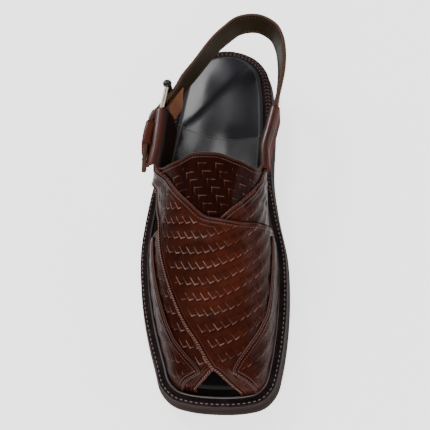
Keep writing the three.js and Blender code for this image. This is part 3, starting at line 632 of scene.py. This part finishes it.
def loopShader(base):  # smooth polished leather with pores, painted shade darkening its flared leg, dull on the other
    away, flaredLegShade, dull = base.attribute("edge").parts()
    pores, drift, fine = leatherGrain(base)
    tone = (0.25 + 0.75 * drift.eased(0.3, 0.62)).tint(loopLook["deep"], loopLook["base"])
    tone = (flaredLegShade * 0.95).tint(tone, loopLook["dark"])
    # a faint pale raw edge, painted highlight on the rim and painted shade in its groove
    tone = leatherRim(tone, away, loopLook, loopLook["worn"])
    matt = flaredLegShade.most(dull)
    return {"Base Color": tone, "Roughness": loopLook["rough"] + 0.1 * fine + 0.3 * matt,
            "bump": (pores * 0.2 + fine * 0.25, 0.12, 0.0003),
            "Coat Weight": (1 - matt) * away.eased(0.3, 1.6), "Coat Roughness": 0.28,
            "Specular IOR Level": 0.06}


def threadShader(colour, rough):  # twisted thread, a little darker between its strands
    def shader(base):
        twist = base.place.noise(1500, 2)
        tone = twist.tint(tuple(c * 0.7 for c in colour), colour)
        return {"Base Color": tone, "Roughness": rough + 0.1 * twist}
    return shader


soleLook = {"dark": (0.0115, 0.0048, 0.0038), "worn": (0.023, 0.011, 0.009)}
weltLook = {"dark": (0.0115, 0.0062, 0.0066), "worn": (0.023, 0.0132, 0.014),
            "bead": (0.085, 0.076, 0.074)}
insoleLook = {"dark": (0.0032, 0.0032, 0.0052), "pale": (0.0075, 0.0074, 0.0125),
              "fore": (0.012, 0.0095, 0.0078), "seam": (0.05, 0.046, 0.042),
              "seamY": 59.7, "seamX": 15, "seamBend": 0.006}
strapLook = {"outDark": (0.016, 0.0042, 0.0024), "outPale": (0.045, 0.0125, 0.0068),
             "inDark": (0.0105, 0.006, 0.0019), "inPale": (0.019, 0.0118, 0.0038),
             "edge": (0.075, 0.038, 0.025)}
tanLook = {"dark": (0.1, 0.027, 0.0065), "pale": (0.22, 0.069, 0.017)}
wireLook = {"dark": (0.66, 0.58, 0.43), "pale": (0.8, 0.73, 0.58), "grain": (120, 2), "rough": 0.32,
            "rougher": 0.06, "metallic": 1.0}
rollerLook = {"dark": (0.012, 0.011, 0.01), "pale": (0.03, 0.027, 0.023), "grain": (260, 3), "rough": 0.22,
              "rougher": 0.2, "metallic": 0.6}


def soleShader(base):  # moulded rubber, fine speckle, dull scuffs
    speck = base.place.noise(1400, 2)
    scuff = base.place.stretched((1, 1, 3)).noise(60, 4, 0.6)
    tone = scuff.eased(0.35, 0.75).tint(soleLook["dark"], soleLook["worn"])
    return {"Base Color": tone, "Roughness": 0.55 + 0.2 * scuff,
            "bump": (speck + scuff * 0.6, 0.25, 0.0003), "Specular IOR Level": 0.07}


def weltShader(base):  # dull black strip, its inner bead polished and paler as a painted highlight
    bead = base.attribute("edge").pick(0)
    speck = base.place.noise(900, 3)
    scuff = base.place.noise(90, 3)
    tone = scuff.eased(0.4, 0.75).tint(weltLook["dark"], weltLook["worn"])
    # bead: painted highlight
    tone = bead.tint(tone, weltLook["bead"])
    return {"Base Color": tone, "Roughness": 0.6 + 0.18 * scuff - 0.4 * bead,
            "bump": (speck * (1 - bead), 0.18, 0.0002),
            "Coat Weight": bead * 0.9, "Coat Roughness": 0.1, "Specular IOR Level": 0.06}


def insoleShader(base):  # glossy black lining with slow waves, and a curved seam before the heel pad
    rim = base.attribute("edge").pick(0)
    wave = base.place.stretched((1, 0.6, 1)).noise(14, 1, 0.4)
    speck = base.place.noise(1100, 2)
    x, y = base.place.pick(0) * 1000, base.place.pick(1) * 1000
    past = y - insoleLook["seamY"] - insoleLook["seamBend"] * (x - insoleLook["seamX"]) ** 2
    seam = 1 - abs(past).eased(0.25, 0.7)
    front = 1 - past.eased(-0.5, 0.5)
    tone = wave.tint(insoleLook["dark"], insoleLook["pale"])
    tone = (front * 0.5).tint(tone, insoleLook["fore"])
    tone = (seam * 0.6).tint(tone, insoleLook["seam"])
    return {"Base Color": tone, "Roughness": 0.14 + 0.06 * wave + 0.1 * front + 0.6 * rim,
            "bump": (wave + speck * 0.01 + seam * 0.05, 0.5, 0.004),
            "Coat Weight": 0.2 * (1 - rim), "Coat Roughness": 0.1, "Specular IOR Level": 0.42}


def strapShader(base):  # brown outside, olive lining inside, paler cut edges
    spot = base.attribute("edge")
    away, lining = spot.pick(0), spot.pick(1)
    pores, drift, fine = leatherGrain(base)
    outside = (0.3 + 0.7 * drift).tint(strapLook["outDark"], strapLook["outPale"])
    inside = drift.tint(strapLook["inDark"], strapLook["inPale"])
    tone = lining.tint(outside, inside)
    tone = ((1 - away.eased(0.3, 1.0)) * 0.9).tint(tone, strapLook["edge"])
    return {"Base Color": tone, "Roughness": 0.42 + 0.2 * fine,
            "bump": (pores * 0.3 + fine * 0.4, 0.35, 0.0003), "Specular IOR Level": 0.08}


def tanShader(base):  # raw leather, two tans
    pores, drift, fine = leatherGrain(base)
    tone = drift.eased(0.3, 0.7).tint(tanLook["dark"], tanLook["pale"])
    return {"Base Color": tone, "Roughness": 0.62 + 0.2 * fine, "bump": (fine + pores * 0.4, 0.4, 0.0004)}


def metalShader(look):  # two shades clouded together, rougher where paler
    def shader(base):
        wear = base.place.noise(*look["grain"])
        tone = wear.tint(look["dark"], look["pale"])
        rough = look["rough"] + look["rougher"] * wear
        return {"Base Color": tone, "Roughness": rough, "Metallic": look["metallic"]}
    return shader


shaders = {
    "wovenLeather": wovenShader(leatherLook),
    "wingLeather": wovenShader(wingLook),
    "tongueShadedLeather": wovenShader(tongueShadedLook),
    "loopLeather": loopShader,
    "threadBrown": threadShader((0.12, 0.05, 0.036), 0.5),
    "threadDark": threadShader((0.06, 0.026, 0.016), 0.55),
    "threadCord": threadShader((0.22, 0.095, 0.062), 0.55),
    "threadBraid": threadShader((0.066, 0.027, 0.021), 0.6),
    "threadPale": threadShader((0.21, 0.15, 0.14), 0.5),
    "soleRubber": soleShader,
    "weltBlack": weltShader,
    "insoleBlack": insoleShader,
    "strapLeather": strapShader,
    "tanLeather": tanShader,
    "buckleMetal": metalShader(wireLook),
    "rollerMetal": metalShader(rollerLook),
}
materials = {name: newMaterial(name, shader) for name, shader in shaders.items()}
print("materials made")


# upper

def rimRelief(away, high):  # cut edge falls off; behind it a rolled rim, a groove and a seam ridge
    fall = -0.5 * (1 - np.clip(away / 0.5, 0, 1)) ** 2
    bell = lambda at, wide: np.exp(-((away - at) / wide) ** 2)
    return fall + high * (bell(1.0, 0.75) - 0.7 * bell(2.35, 0.5) + 0.45 * bell(3.5, 0.6))


def creaseRelief(panel, flat):  # soft trough along each listed line, with a low ridge on either side
    total = np.zeros(flat.shape[:2])
    for deep, wide, knots in panel["creases"]:
        y, a = knotCurve(knots, np.linspace(0, 1, 40)).T
        d = nearest(flat, lastPoint(y, a)) / wide
        total += deep * (0.35 * np.exp(-((d - 1.9) / 0.8) ** 2) - np.exp(-d ** 2))
    return total


def tongueDepth(a):  # the tongue follows whichever band lies on it, eased from one depth to the other
    over, under = tonguePanel["underOver"], tonguePanel["underUnder"]
    return over + (under - over) * smooth(-0.06, 0.16, a)


backStep = 3  # a panel's back has every third point of its front


def panelPiece(name, panel, material, kind, stands):  # the last's surface plus weave, rim and creases
    t, y, a = panelGrid(panel)
    flat = lastPoint(y, a)
    low, high = (nearest(flat, edgeLine(panel, side)) for side in ("low", "high"))
    tucked = np.abs(edgeCurve(panel, "high", t)[1]) > 0.97
    high = np.where(tucked, 9, high)  # no rim where the high edge is tucked in at the welt
    away = np.minimum(np.minimum(low, high), nearest(flat, flat[-1]))
    p, q = weaveCoords(y, a, kind)
    u = girth(y, a)
    step = weave[kind]
    relief = weave["high"] * (weaveHeight(p, q, step) - 0.75)
    if kind == "cross":  # bands and wings
        outer, inner = panel["outer"] + 0 * y, panel["inner"] + 0 * y
        wave = np.cos(np.pi / 2 * (q - step * (p - 0.5) - 1)) - 1  # rows of crossings swell and sink
        relief = relief + weave["swell"] * wave
        # painted highlights on the strips' side edges, strong on the lateral side and faint on the medial
        # side
        sideEdgeHighlight, endEdgeHighlight = 0.85 * smooth(-4, 16, u) - 1, 0.85
        crest = 1 - smooth(4, 47, np.abs(u - 7))  # painted highlight is brightest along the top
    else:
        outer = tongueDepth(a)
        inner = outer - panel["thick"]
        sideEdgeHighlight, endEdgeHighlight, crest = 0.75, 0.4, 0.25
    field = smooth(panel["border"] - 0.4, panel["border"] + 0.6, np.minimum(low, high))
    dented = creaseRelief(panel, flat)
    outer = outer + field * relief + rimRelief(away, panel["roll"]) + dented
    normal = lastNormal(y, a)
    front, behind = (flat + normal * off[..., None] for off in (outer, inner))
    points, quads, tris = slab(front, behind, backStep)
    crest = crest * (0.45 + 0.55 * smooth(-128, -76, y))  # and fades towards the toe

    def packed(values, keep, more):  # the front's values, and for the back keep times the value, plus more
        grid = np.stack(np.broadcast_arrays(*values), -1)
        behind = grid[::backStep, ::backStep].reshape(-1, 3) * np.array(keep) + np.array(more)
        return np.concatenate([grid.reshape(-1, 3), behind])

    attributes = {
        "weave": packed((p, q, field), (1, 1, 0), 0),
        "edge": packed((away, sideEdgeHighlight, endEdgeHighlight), 0, (9, 0, 0)),
        # wear: crest for the painted highlight, crease troughs and the lateral flank for painted shade
        "wear": packed((crest, smooth(0.1, 0.5, -dented), smooth(24, 42, -u)), 0, 0),
    }
    addPiece(name, points, quads, material, "upper", stands, tris, attributes, 62)


panelPiece("over_band", overPanel, "wovenLeather", "cross", ("upper",))
panelPiece("under_band", underPanel, "wovenLeather", "cross", ("upper",))
panelPiece("tongue", tonguePanel, "tongueShadedLeather", "square", ("upper",))
panelPiece("wing_lateral_skin", wingLateralPanel, "wingLeather", "cross", ("wing_lateral",))
panelPiece("wing_medial_skin", wingMedialPanel, "wingLeather", "cross", ("wing_medial",))
print("upper made")


# sole

welt = {
    "thick": 4, "bead": 5.7, "beadWide": 0.85, "beadHigh": 1.3, "top": -0.05,
    "rows": [  # inset, height
        (0.3, -4), (-0.15, -3.7), (-0.45, -3), (-0.5, -2), (-0.42, -1), (-0.1, -0.35), (0.45, 0), (1.2, 0),
        (2.6, 0), (3.4, -0.15), (4.3, -0.2)],
    "inside": (7.1, 7.8),
}
weltRows = list(welt["rows"])
for turn in np.linspace(np.pi, 0, 9):  # half an ellipse makes the bead
    weltRows.append((welt["bead"] + welt["beadWide"] * math.cos(turn), welt["beadHigh"] * math.sin(turn)))
weltRows += [(inset, welt["top"]) for inset in welt["inside"]]


def weltRow(inset, dz):  # one ring of the welt; the bead runs out behind the upper
    fade = lambda y: 1 - 0.7 * smooth(0, 40, y)
    return ring(inset, lambda y, x: weltTop(y) + (dz * fade(y) if dz > 0 else dz))


rings = [weltRow(*row) for row in weltRows]
weltLow = lambda y, x: weltTop(y) - welt["thick"]
points, quads, tris = plate(rings, weltLow, lambda y, x: weltTop(y) + welt["top"], 8)
beadGlossAndHighlight = np.zeros((len(points), 3))
beadGlossAndHighlight[:len(weltRows) * ringCount, 0] = np.repeat([float(dz > 0.9) for inset, dz in weltRows], ringCount)
# the bead's painted highlight is strongest at the toe and fades out towards the heel
beadGlossAndHighlight[:, 0] *= 1 - 0.6 * smooth(-100, -60, points[:, 1]) - 0.4 * smooth(0, 40, points[:, 1])
addPiece("welt_plate", points, quads, "weltBlack", "welt", ("welt",), tris, {"edge": beadGlossAndHighlight})

sole = {
    "gap": 0.3, "flare": 2.6, "edge": 6, "sides": (0.25, 0.5, 0.75, 0.93),
    "rows": [(2.2, 0), (1.0, 0.12), (0.3, 0.7), (0, 1.6), (0, 2.8), (0.5, 4.4), (1.1, 6)],  # inset, height
}
soleTop = lambda y, x: weltTop(y) - welt["thick"] - sole["gap"]


def soleSide(w):  # a ring at the share w of the way from the moulded edge to the welt
    return ring(-1.2 + 1.3 * w, lambda y, x: (soleUnder(y) + sole["edge"]) * (1 - w) + soleTop(y, x) * w)


rings = [ring(inset - sole["flare"], lambda y, x, up=up: soleUnder(y) + up) for inset, up in sole["rows"]]
rings += [soleSide(w) for w in sole["sides"]] + [ring(0.6, soleTop)]
points, quads, tris = plate(rings, lambda y, x: soleUnder(y), soleTop, 8)
addPiece("outsole_body", points, quads, "soleRubber", "sole", ("outsole",), tris)

bed = {
    "fore": 11.6, "rear": 7.4, "thick": 2.6, "cup": 2.1, "roll": 2.2, "foot": 0.6,
    "dents": [  # height, x, y, spread in x and in y
        (-0.5, 8, 52, 9, 16), (0.45, -12, 30, 8, 14), (0.4, 16, 26, 7, 18), (-0.35, -14, 112, 9, 14)],
}
bedInset = bed["fore"] + (bed["rear"] - bed["fore"]) * smooth(-34, 16, loopBase[:, 1])
bedLow = lambda y, x: weltTop(y) + sole["gap"]


def bedTop(y, x):  # flat in front, dished towards the heel, with a few soft dents
    rim = np.hypot((x - planForm["heelTip"][0]) / 34, np.maximum(y - 96, 0) / 44)
    dish = np.maximum(0, 1 - rim ** 3)  # level in the middle, rising towards the rim
    top = bedLow(y, x) + bed["thick"] - bed["cup"] * smooth(10, 70, y) * dish
    for high, midX, midY, wideX, wideY in bed["dents"]:
        top = top + high * np.exp(-((x - midX) / wideX) ** 2 - ((y - midY) / wideY) ** 2)
    return top


def bedEdge(turn):  # a ring on the quarter circle of the rolled edge
    foot = lambda y: weltTop(y) + bed["foot"]
    return ring(bedInset + bed["roll"] * (1 - math.cos(turn)) - 0.1,
                lambda y, x: foot(y) + (bedTop(y, x) - foot(y)) * math.sin(turn))


rings = [ring(bedInset, bedLow), ring(bedInset - 0.1, lambda y, x: weltTop(y) + bed["foot"])]
rings += [bedEdge(turn) for turn in np.linspace(0.05, np.pi / 2, 8)]
points, quads, tris = plate(rings, bedLow, bedTop, 40)
rim = np.zeros((len(points), 3))
rim[:len(rings) * ringCount, 0] = 1  # the rolled edge is dull
addPiece("insole_bed", points, quads, "insoleBlack", "footbed", ("insole",), tris, {"edge": rim})

heelForm = {  # the outline behind the breast line, carried down to the floor
    "breast": 68, "inset": 0.6, "top": 1.6,
    "rows": [(1.5, 0), (0.7, 0.15), (0.2, 0.8), (0, 1.6), (0.4, 4), (0.9, 8)],  # inset, height
}
order = np.roll(np.arange(ringCount), half)
rear = order[loopBase[order, 1] > heelForm["breast"]]


def heelRow(inset):  # the rear outline at one inset
    return loopBase[rear] + loopIn[rear] * (inset + heelForm["inset"] - sole["flare"])


stack = [np.column_stack([heelRow(inset), np.full(len(rear), z)]) for inset, z in heelForm["rows"]]
top = heelRow(heelForm["top"])
stack.append(np.column_stack([top, soleUnder(top[:, 1]) - sole["gap"]]))
addBar("heel_block", np.stack(stack), "soleRubber", "sole", ("heel",), sharp=40)
print("sole made")


# strap, loops and buckle

strapForm = {
    "wide": 17, "thick": 3, "round": 0.9, "count": 420, "tip": 0.035,
    "folds": [  # place along the strap, spread, depth
        (0.3, 0.008, 0.5), (0.335, 0.006, 0.4), (0.42, 0.008, 0.5), (0.67, 0.007, 0.5), (0.7, 0.006, 0.45),
        (0.735, 0.006, 0.4)],
    "line": [  # x, y, z, outward lean in degrees
        (44.4, 50, 58.5, 0), (45.9, 65, 60.4, 3), (48.1, 80, 61.5, 9), (49.8, 96, 62, 14),
        (49.9, 111, 62.5, 16), (47.9, 126, 63, 17), (43, 137.2, 63.8, 16), (30.5, 145.7, 64.4, 13),
        (15.8, 144.3, 64.4, 13), (5.6, 136.2, 63.3, 11), (-3.6, 125.9, 62.3, 8), (-15.9, 105.2, 61.4, 5),
        (-24.6, 90, 61.6, 4), (-29.9, 78.4, 61.4, 0), (-37, 69.9, 61, -12), (-44.7, 64.4, 60.4, -38),
        (-48.3, 54, 59.4, -20), (-49.7, 38, 57.4, -11), (-50.4, 22, 55.2, -10), (-50.5, 13, 54, -10)],
}
strapLine, strapLean, strapAt = routed(strapForm["line"], strapForm["count"])
shape = roundedBar(strapForm["thick"], strapForm["wide"], strapForm["round"], 6)
tip = np.clip((1 - strapAt) / strapForm["tip"], 0.06, 1)[:, None]
folds = sum(deep * np.exp(-((strapAt - at) / wide) ** 2) for at, wide, deep in strapForm["folds"])
lined = shape[:, 0] < -strapForm["round"]
bulge = np.cos(np.pi / 2 * np.clip(shape[:, 1] / 8, -1, 1)) * lined
hollow = folds[:, None] * bulge  # pressed into the lining
points = carried(strapLine, strapLean, np.stack([shape[:, 0] + hollow, shape[:, 1] * tip], -1))
edgeAt = np.stack([strapForm["wide"] / 2 - np.abs(shape[:, 1]), lined, 0 * lined], -1)
edgeAt = np.tile(edgeAt, (strapForm["count"], 1))
addBar("heel_strap_band", points, "strapLeather", "strap", ("heel_strap",), None, {"edge": edgeAt}, 45)

loopForm = {
    "wide": 21, "wall": 2.1, "rise": 4, "long": 48, "count": 120, "arch": 17, "leg": 14,
    "lateral": {"sign": -1, "off": -1.45, "front": 15.0, "rear": (-39.6, 61, 58.8), "flare": (6, 22),
                "slot": 7.2, "short": 0.97},
    "medial": {"sign": 1, "off": -2.9, "front": 12.0, "rear": (45.3, 60, 59.8), "flare": (4, 10),
               "slot": 3.6, "short": 0.75},
}


def foldedLoop(name, part, node):  # leather folded into a long inverted U, its inner leg flared
    n, sign = loopForm["count"], part["sign"]
    front = lastAt(np.array([part["front"], 20, 28]), np.full(3, sign * 0.75), np.full(3, part["off"]))
    front[:, 2] += loopForm["rise"]
    rear = np.array(part["rear"])
    w = np.linspace(0, 1, n)
    line = knotCurve(np.vstack([front, (front[2] + rear) / 2, rear]), w)
    w = w[:, None]
    inR = part["slot"] / 2
    outR = inR + loopForm["wall"]
    down = loopForm["wide"] / 2
    turn = np.linspace(0, np.pi, loopForm["arch"])
    leg = np.linspace(-down, down - outR, loopForm["leg"])

    def contour(r):  # up one leg, over a half circle, down the other
        arch = np.stack([np.cos(turn) * r, down - outR + np.sin(turn) * r], 1)
        right = np.stack([np.full(len(leg), r), leg], 1)[:-1]
        return np.concatenate([right, arch, right[::-1] * (-1, 1)])

    closed = np.concatenate([contour(outR), contour(inR)[::-1]])
    outward = sign * closed[:, 0]
    below = np.maximum(down - outR - closed[:, 1], 0)
    drawn = 1 - 0.55 * smooth(0.84, 1, w) ** 2 - 0.35 * smooth(0.2, 0, w)  # the flared leaf is cut round
    depth = below * (outward < 0) * np.ones((n, 1))
    lean = np.tan(np.radians(part["flare"][0] + (part["flare"][1] - part["flare"][0]) * w))
    swing = -sign * drawn * depth ** 2 / (depth + 2.5) * lean  # eases into the flare below the fold
    hang = below * (outward > 0)
    short = part["short"] * smooth(0.6, 0, w)  # in front the outer leg ends where the band's ear does
    profile = np.stack([closed[:, 0] + swing, closed[:, 1] + depth * (1 - drawn) + hang * short], -1)
    points = carried(line, np.zeros(n), profile)
    span = w * loopForm["long"]
    away = np.minimum(np.abs(closed[:, 1] + down), np.minimum(span, loopForm["long"] - span))
    flaredLegShade = smooth(0.3, 1, -outward / outR)  # painted shade: the fold darkens towards its flared leg
    dull = np.maximum(smooth(0, 3, hang), 0.9 * smooth(0.6, 1, outward / outR))  # on the outer leg
    edgeAt = np.stack(np.broadcast_arrays(away, flaredLegShade, dull), -1)
    addBar(name, points, "loopLeather", "upper", (node,), None, {"edge": edgeAt}, 48)


foldedLoop("loop_lateral", loopForm["lateral"], "sleeve_lateral")
foldedLoop("loop_medial", loopForm["medial"], "sleeve_medial")

buckle = {
    "front": (-39.6, 58, 60.6), "back": (-35.6, 79.6, 61.2), "half": 11.6, "frontHalf": 6.4, "r": 1.6,
    "count": 140, "per": 16, "rollerR": 3.0, "rollerHalf": 9.6, "rollerCount": 24, "rollerPer": 28,
    "knob": 3.4, "knobUp": 0.4, "knobHigh": 2.1, "knobCount": 18,
}
front, back = np.array(buckle["front"]), np.array(buckle["back"])
lift = np.array([0, 0, buckle["half"]])
lower = lift * buckle["frontHalf"] / buckle["half"]  # the frame narrows into the loop
path = np.vstack([front + lower, back + lift, back - lift, front - lower])
span = travelled(path)
path = sampled(path, span, np.linspace(0, span[-1], buckle["count"]))
wire = roundBar(path, buckle["r"], buckle["per"])
addBar("buckle_wire", wire, "buckleMetal", "metal", ("buckle_frame",))


def upright(at, r):  # round bar along the back of the frame
    return roundBar(back + np.stack([0 * at, 0 * at, at], 1), r, buckle["rollerPer"])


rollAt = np.linspace(-buckle["rollerHalf"], buckle["rollerHalf"], buckle["rollerCount"])
swell = buckle["rollerR"] - 0.5 * np.clip(np.abs(rollAt) - buckle["rollerHalf"] + 1, 0, 1) ** 2
addBar("buckle_roll", upright(rollAt, swell), "rollerMetal", "roller", ("buckle_roller",))
turn = np.linspace(-np.pi / 2 + 0.05, np.pi / 2 - 0.05, buckle["knobCount"])
for name, sign in (("knob_top", 1), ("knob_low", -1)):  # dark rounded ends on the frame's back corners
    at = sign * (buckle["half"] + buckle["knobUp"]) + buckle["knobHigh"] * np.sin(turn)
    addBar("buckle_" + name, upright(at, buckle["knob"] * np.cos(turn) ** 0.7), "rollerMetal", "roller")

keeperForm = {
    "wall": 1.4, "slack": 0.5, "count": 60, "long": 17, "dull": 0.5,
    "line": [(-48.7, 49, 58.8, -16), (-49.6, 40, 57.7, -12), (-50.1, 32, 56.6, -11)],
}
line, lean, at = routed(keeperForm["line"], keeperForm["count"])
thick, wide = (strapForm[key] + 2 * keeperForm["slack"] for key in ("thick", "wide"))
more = 2 * keeperForm["wall"]
skins = [roundedBar(thick + more, wide + more, 2.4, 6), roundedBar(thick, wide, 0.5, 6)]
outSkin, inSkin = (carried(line, lean, np.tile(skin, (len(line), 1, 1))) for skin in skins)
shell = np.concatenate([outSkin, inSkin[::-1]])
n, m = shell.shape[:2]
span = np.concatenate([at, at[::-1]])[:, None] * keeperForm["long"] + np.zeros((1, m))
away = np.minimum(span, keeperForm["long"] - span)
edgeAt = np.stack([away, 0 * away, 0 * away + keeperForm["dull"]], -1)
quads = gridQuads(n, m, 0, True, True)
attributes = {"edge": edgeAt}
addPiece("keeper_ring", shell, quads, "loopLeather", "upper", ("strap_keeper",), None, attributes, 45)

guardForm = {
    "wide": 15, "thick": 3.0, "count": 80, "beak": 9.9,
    "line": [(-24.0, 82, 59, 24), (-27.0, 76.4, 58.6, 22), (-30.6, 70, 57.8, 14), (-34.6, 63.6, 56.8, 5)],
}
line, lean, at = routed(guardForm["line"], guardForm["count"])
shape = roundedBar(guardForm["thick"], guardForm["wide"], 0.5, 5)
narrow = (1 - 0.25 * (1 - at))[:, None]
cut = smooth(0.6, 0, at)[:, None] * (0.5 - shape[:, 1] / guardForm["wide"])  # lower corner cut off
profile = np.stack(np.broadcast_arrays(shape[:, 0], shape[:, 1] * narrow + cut * guardForm["beak"]), -1)
addBar("guard_tab", carried(line, lean, profile), "tanLeather", "tan", ("buckle_guard",))
print("strap and buckle made")


# stitches: short beads of thread, laid along a path on the surface

beadRings, beadPer = 6, 6  # rings of one bead and points of a ring


# equal steps along the path; each bead is an ellipsoid, turned aside by slant and raised by lift
def stitchRow(name, path, normal, material, slot, pitch, long, r, lift, slant=0.0):
    span = travelled(path)
    at = np.arange(pitch / 2, span[-1], pitch)
    centre, ahead, behind = (sampled(path, span, at + step) for step in (0, 0.4, -0.4))
    up = unit(sampled(np.broadcast_to(normal, path.shape), span, at))
    along = unit(ahead - behind)
    along = unit(along + unit(np.cross(up, along)) * slant)
    across = np.cross(up, along)
    w = np.linspace(-1, 1, beadRings)
    fat = np.sqrt(np.maximum(1 - w ** 2, 0.02))[:, None] * r
    v = np.linspace(0, 2 * np.pi, beadPer, endpoint=False)
    far, aside, above = (d[:, None, None] for d in (along, across, up))
    body = far * (w * long / 2)[:, None, None] + aside * (fat * np.cos(v))[..., None]
    points = centre[:, None, None] + above * (lift + (fat * np.sin(v))[..., None]) + body
    quads = skinQuads(beadRings, beadPer) + beadRings * beadPer * np.arange(len(at))[:, None, None]
    addPiece(name, points, quads, material, slot, sharp=80)


def alongEdge(panel, side, away, off, t0, t1):  # an edge moved sideways on the surface, then lifted
    t = np.linspace(t0, t1, 300)
    edge, inner = (0.0, 0.06) if side == "low" else (1.0, 0.94)
    y, a = onPanel(panel, t, edge)
    path, normal = lastPoint(y, a), lastNormal(y, a)
    within = lastPoint(*onPanel(panel, t, inner)) - path
    across = unit(np.cross(normal, np.gradient(path, axis=0)))
    across = across * np.sign((across * within).sum())  # towards the panel's inside
    return path + across * away + normal * off, normal


stitchKinds = {  # thread, pitch, length, radius, lift, slant
    "braid": ("threadCord", 1.8, 1.9, 0.37, 0.22, 0.8),
    "fine": ("threadBrown", 2.1, 1.65, 0.25, 0.1, 0.0),
    "thin": ("threadBrown", 1.9, 1.4, 0.22, 0.1, 0.0),
}
stitchPlan = [  # name, panel, side, distance from edge, height, from t, to t, kind
    ("over_low", overPanel, "low", 1.4, 0.35, 0.035, 0.97, "braid"),
    ("over_high", overPanel, "high", 3.5, 0.2, 0.585, 0.98, "fine"),
    ("under_low", underPanel, "low", 1.5, -1.5, 0.035, 0.13, "braid"),
    ("under_high", underPanel, "high", 3.5, -1.7, 0.74, 0.98, "fine"),
    ("tongue_top", tonguePanel, "high", 3.5, 0.1, 0.06, 0.94, "fine"),
    ("wing_lateral_a", wingLateralPanel, "low", 1.4, -0.3, 0.03, 0.98, "thin"),
    ("wing_lateral_b", wingLateralPanel, "low", 3.4, -0.38, 0.04, 0.98, "thin"),
    ("wing_medial_a", wingMedialPanel, "low", 1.4, 1.2, 0.03, 0.98, "fine"),
    ("wing_medial_b", wingMedialPanel, "low", 3.4, 1.12, 0.04, 0.98, "thin"),
]
for name, panel, side, away, off, t0, t1, kind in stitchPlan:
    path, normal = alongEdge(panel, side, away, off, t0, t1)
    if panel is tonguePanel:
        path = path + normal * tongueDepth(np.linspace(-0.44, 0.52, len(path)))[:, None]
    thread, *sizes = stitchKinds[kind]
    stitchRow("stitch_" + name, path, normal, thread, "upper", *sizes)

weltStitch = {"inset": 1.3, "until": 22, "sizes": (3.5, 2.2, 0.42, 0.05)}  # sizes as above
path = ring(weltStitch["inset"], lambda y, x: weltTop(y))
path = path[path[:, 1] < weltStitch["until"]]
stitchRow("stitch_welt", path, (0, 0, 1), "threadPale", "welt", *weltStitch["sizes"])

heelStitch = {"from": 12, "rows": [("a", 2.0, 0.95), ("b", 4.3, -0.95)], "sizes": (3.5, 3.2, 0.8, 0.1)}
for name, inset, slant in heelStitch["rows"]:  # braided chevrons along the rear of the welt
    path = np.roll(ring(inset, lambda y, x: weltTop(y) - 0.1), half, axis=0)
    path = path[path[:, 1] > heelStitch["from"]]
    stitchRow("stitch_heel_" + name, path, (0, 0, 1), "threadBraid", "welt", *heelStitch["sizes"], slant)

strapStitch = {"off": 1.5, "high": 6.2, "from": 0.03, "until": 0.965, "sizes": (2.9, 2.1, 0.3, 0.02)}
keep = (strapAt > strapStitch["from"]) & (strapAt < strapStitch["until"])
for name, face, edge in (("in_top", -1, 1), ("in_low", -1, -1), ("out_top", 1, 1), ("out_low", 1, -1)):
    off, high = face * strapStitch["off"], edge * strapStitch["high"]
    spots = np.tile([[[off, high], [2 * off, high]]], (strapForm["count"], 1, 1))
    rows = carried(strapLine, strapLean, spots)[keep]
    outward = rows[:, 1] - rows[:, 0]
    stitchRow("stitch_strap_" + name, rows[:, 0], outward, "threadDark", "strap", *strapStitch["sizes"])
print("stitches made")


# stage, light and camera

stageForm = {"size": 4.0, "floor": (0.86, 0.86, 0.855), "rough": 0.9, "glow": 1.8, "sky": 0.14}


def floorShader(base):  # pale and evenly lit from within
    return {"Base Color": stageForm["floor"], "Roughness": stageForm["rough"],
            "Emission Color": (1, 1, 1), "Emission Strength": stageForm["glow"]}


size = stageForm["size"]
corners = [(-size, -size, 0), (size, -size, 0), (size, size, 0), (-size, size, 0)]
floorMesh = bpy.data.meshes.new("floor")
floorMesh.from_pydata(corners, [], [(0, 1, 2, 3)])
floorMesh.materials.append(newMaterial("floorPale", floorShader))
floor = bpy.data.objects.new("floor", floorMesh)
bpy.context.scene.collection.objects.link(floor)

world = bpy.data.worlds.new("studio")
bpy.context.scene.world = world
world.use_nodes = True
sky = world.node_tree.nodes["Background"]
sky.inputs[0].default_value = (1, 1, 1, 1)
sky.inputs[1].default_value = stageForm["sky"]

lamps = {  # place, aim, width, height in metres, watts
    "lampLeft": ((-1.3, 1.05, 1.12), (0, 0, 0.03), 1.7, 1.2, 8),
    "lampRight": ((1.4, 0.0, 0.75), (0, 0, 0.03), 0.7, 0.6, 4),
    "lampBack": ((0.2, 1.6, 0.6), (0, 0, 0.03), 1.4, 0.5, 9),
    "lampFront": ((-0.2, -1.4, 0.9), (0, 0, 0.03), 1.7, 1.0, 28),
    "lampHigh": ((0.03, 0.95, 1.28), (0, 0.1, 0.03), 0.24, 0.5, 3.3),
    "lampRoll": ((-0.9, 1.1, 1.45), (-0.04, 0.04, 0.06), 0.5, 0.5, 16),
}
for name, (place, aim, wide, high, watts) in lamps.items():
    data = bpy.data.lights.new(name, "AREA")
    data.shape, data.size, data.size_y, data.energy = "RECTANGLE", wide, high, watts
    lamp = bpy.data.objects.new(name, data)
    lamp.location = place
    lamp.rotation_euler = (Vector(aim) - Vector(place)).to_track_quat("-Z", "Y").to_euler()
    bpy.context.scene.collection.objects.link(lamp)

shot = {"place": (59.65, -268.8, 495.9), "aim": (1.2, -9.7, 30), "lens": 60.7, "sensor": 36,
        "roll": -11.1}
cameraData = bpy.data.cameras.new("camera")
cameraData.sensor_width, cameraData.lens = shot["sensor"], shot["lens"]
cameraData.clip_start, cameraData.clip_end = 0.01, 20
camera = bpy.data.objects.new("camera", cameraData)
camera.location = Vector(shot["place"]) * mm
look = (Vector(shot["aim"]) - Vector(shot["place"])).to_track_quat("-Z", "Y")
camera.rotation_euler = look.to_euler()
camera.rotation_euler.rotate_axis("Z", math.radians(shot["roll"]))
bpy.context.scene.collection.objects.link(camera)
bpy.context.scene.camera = camera
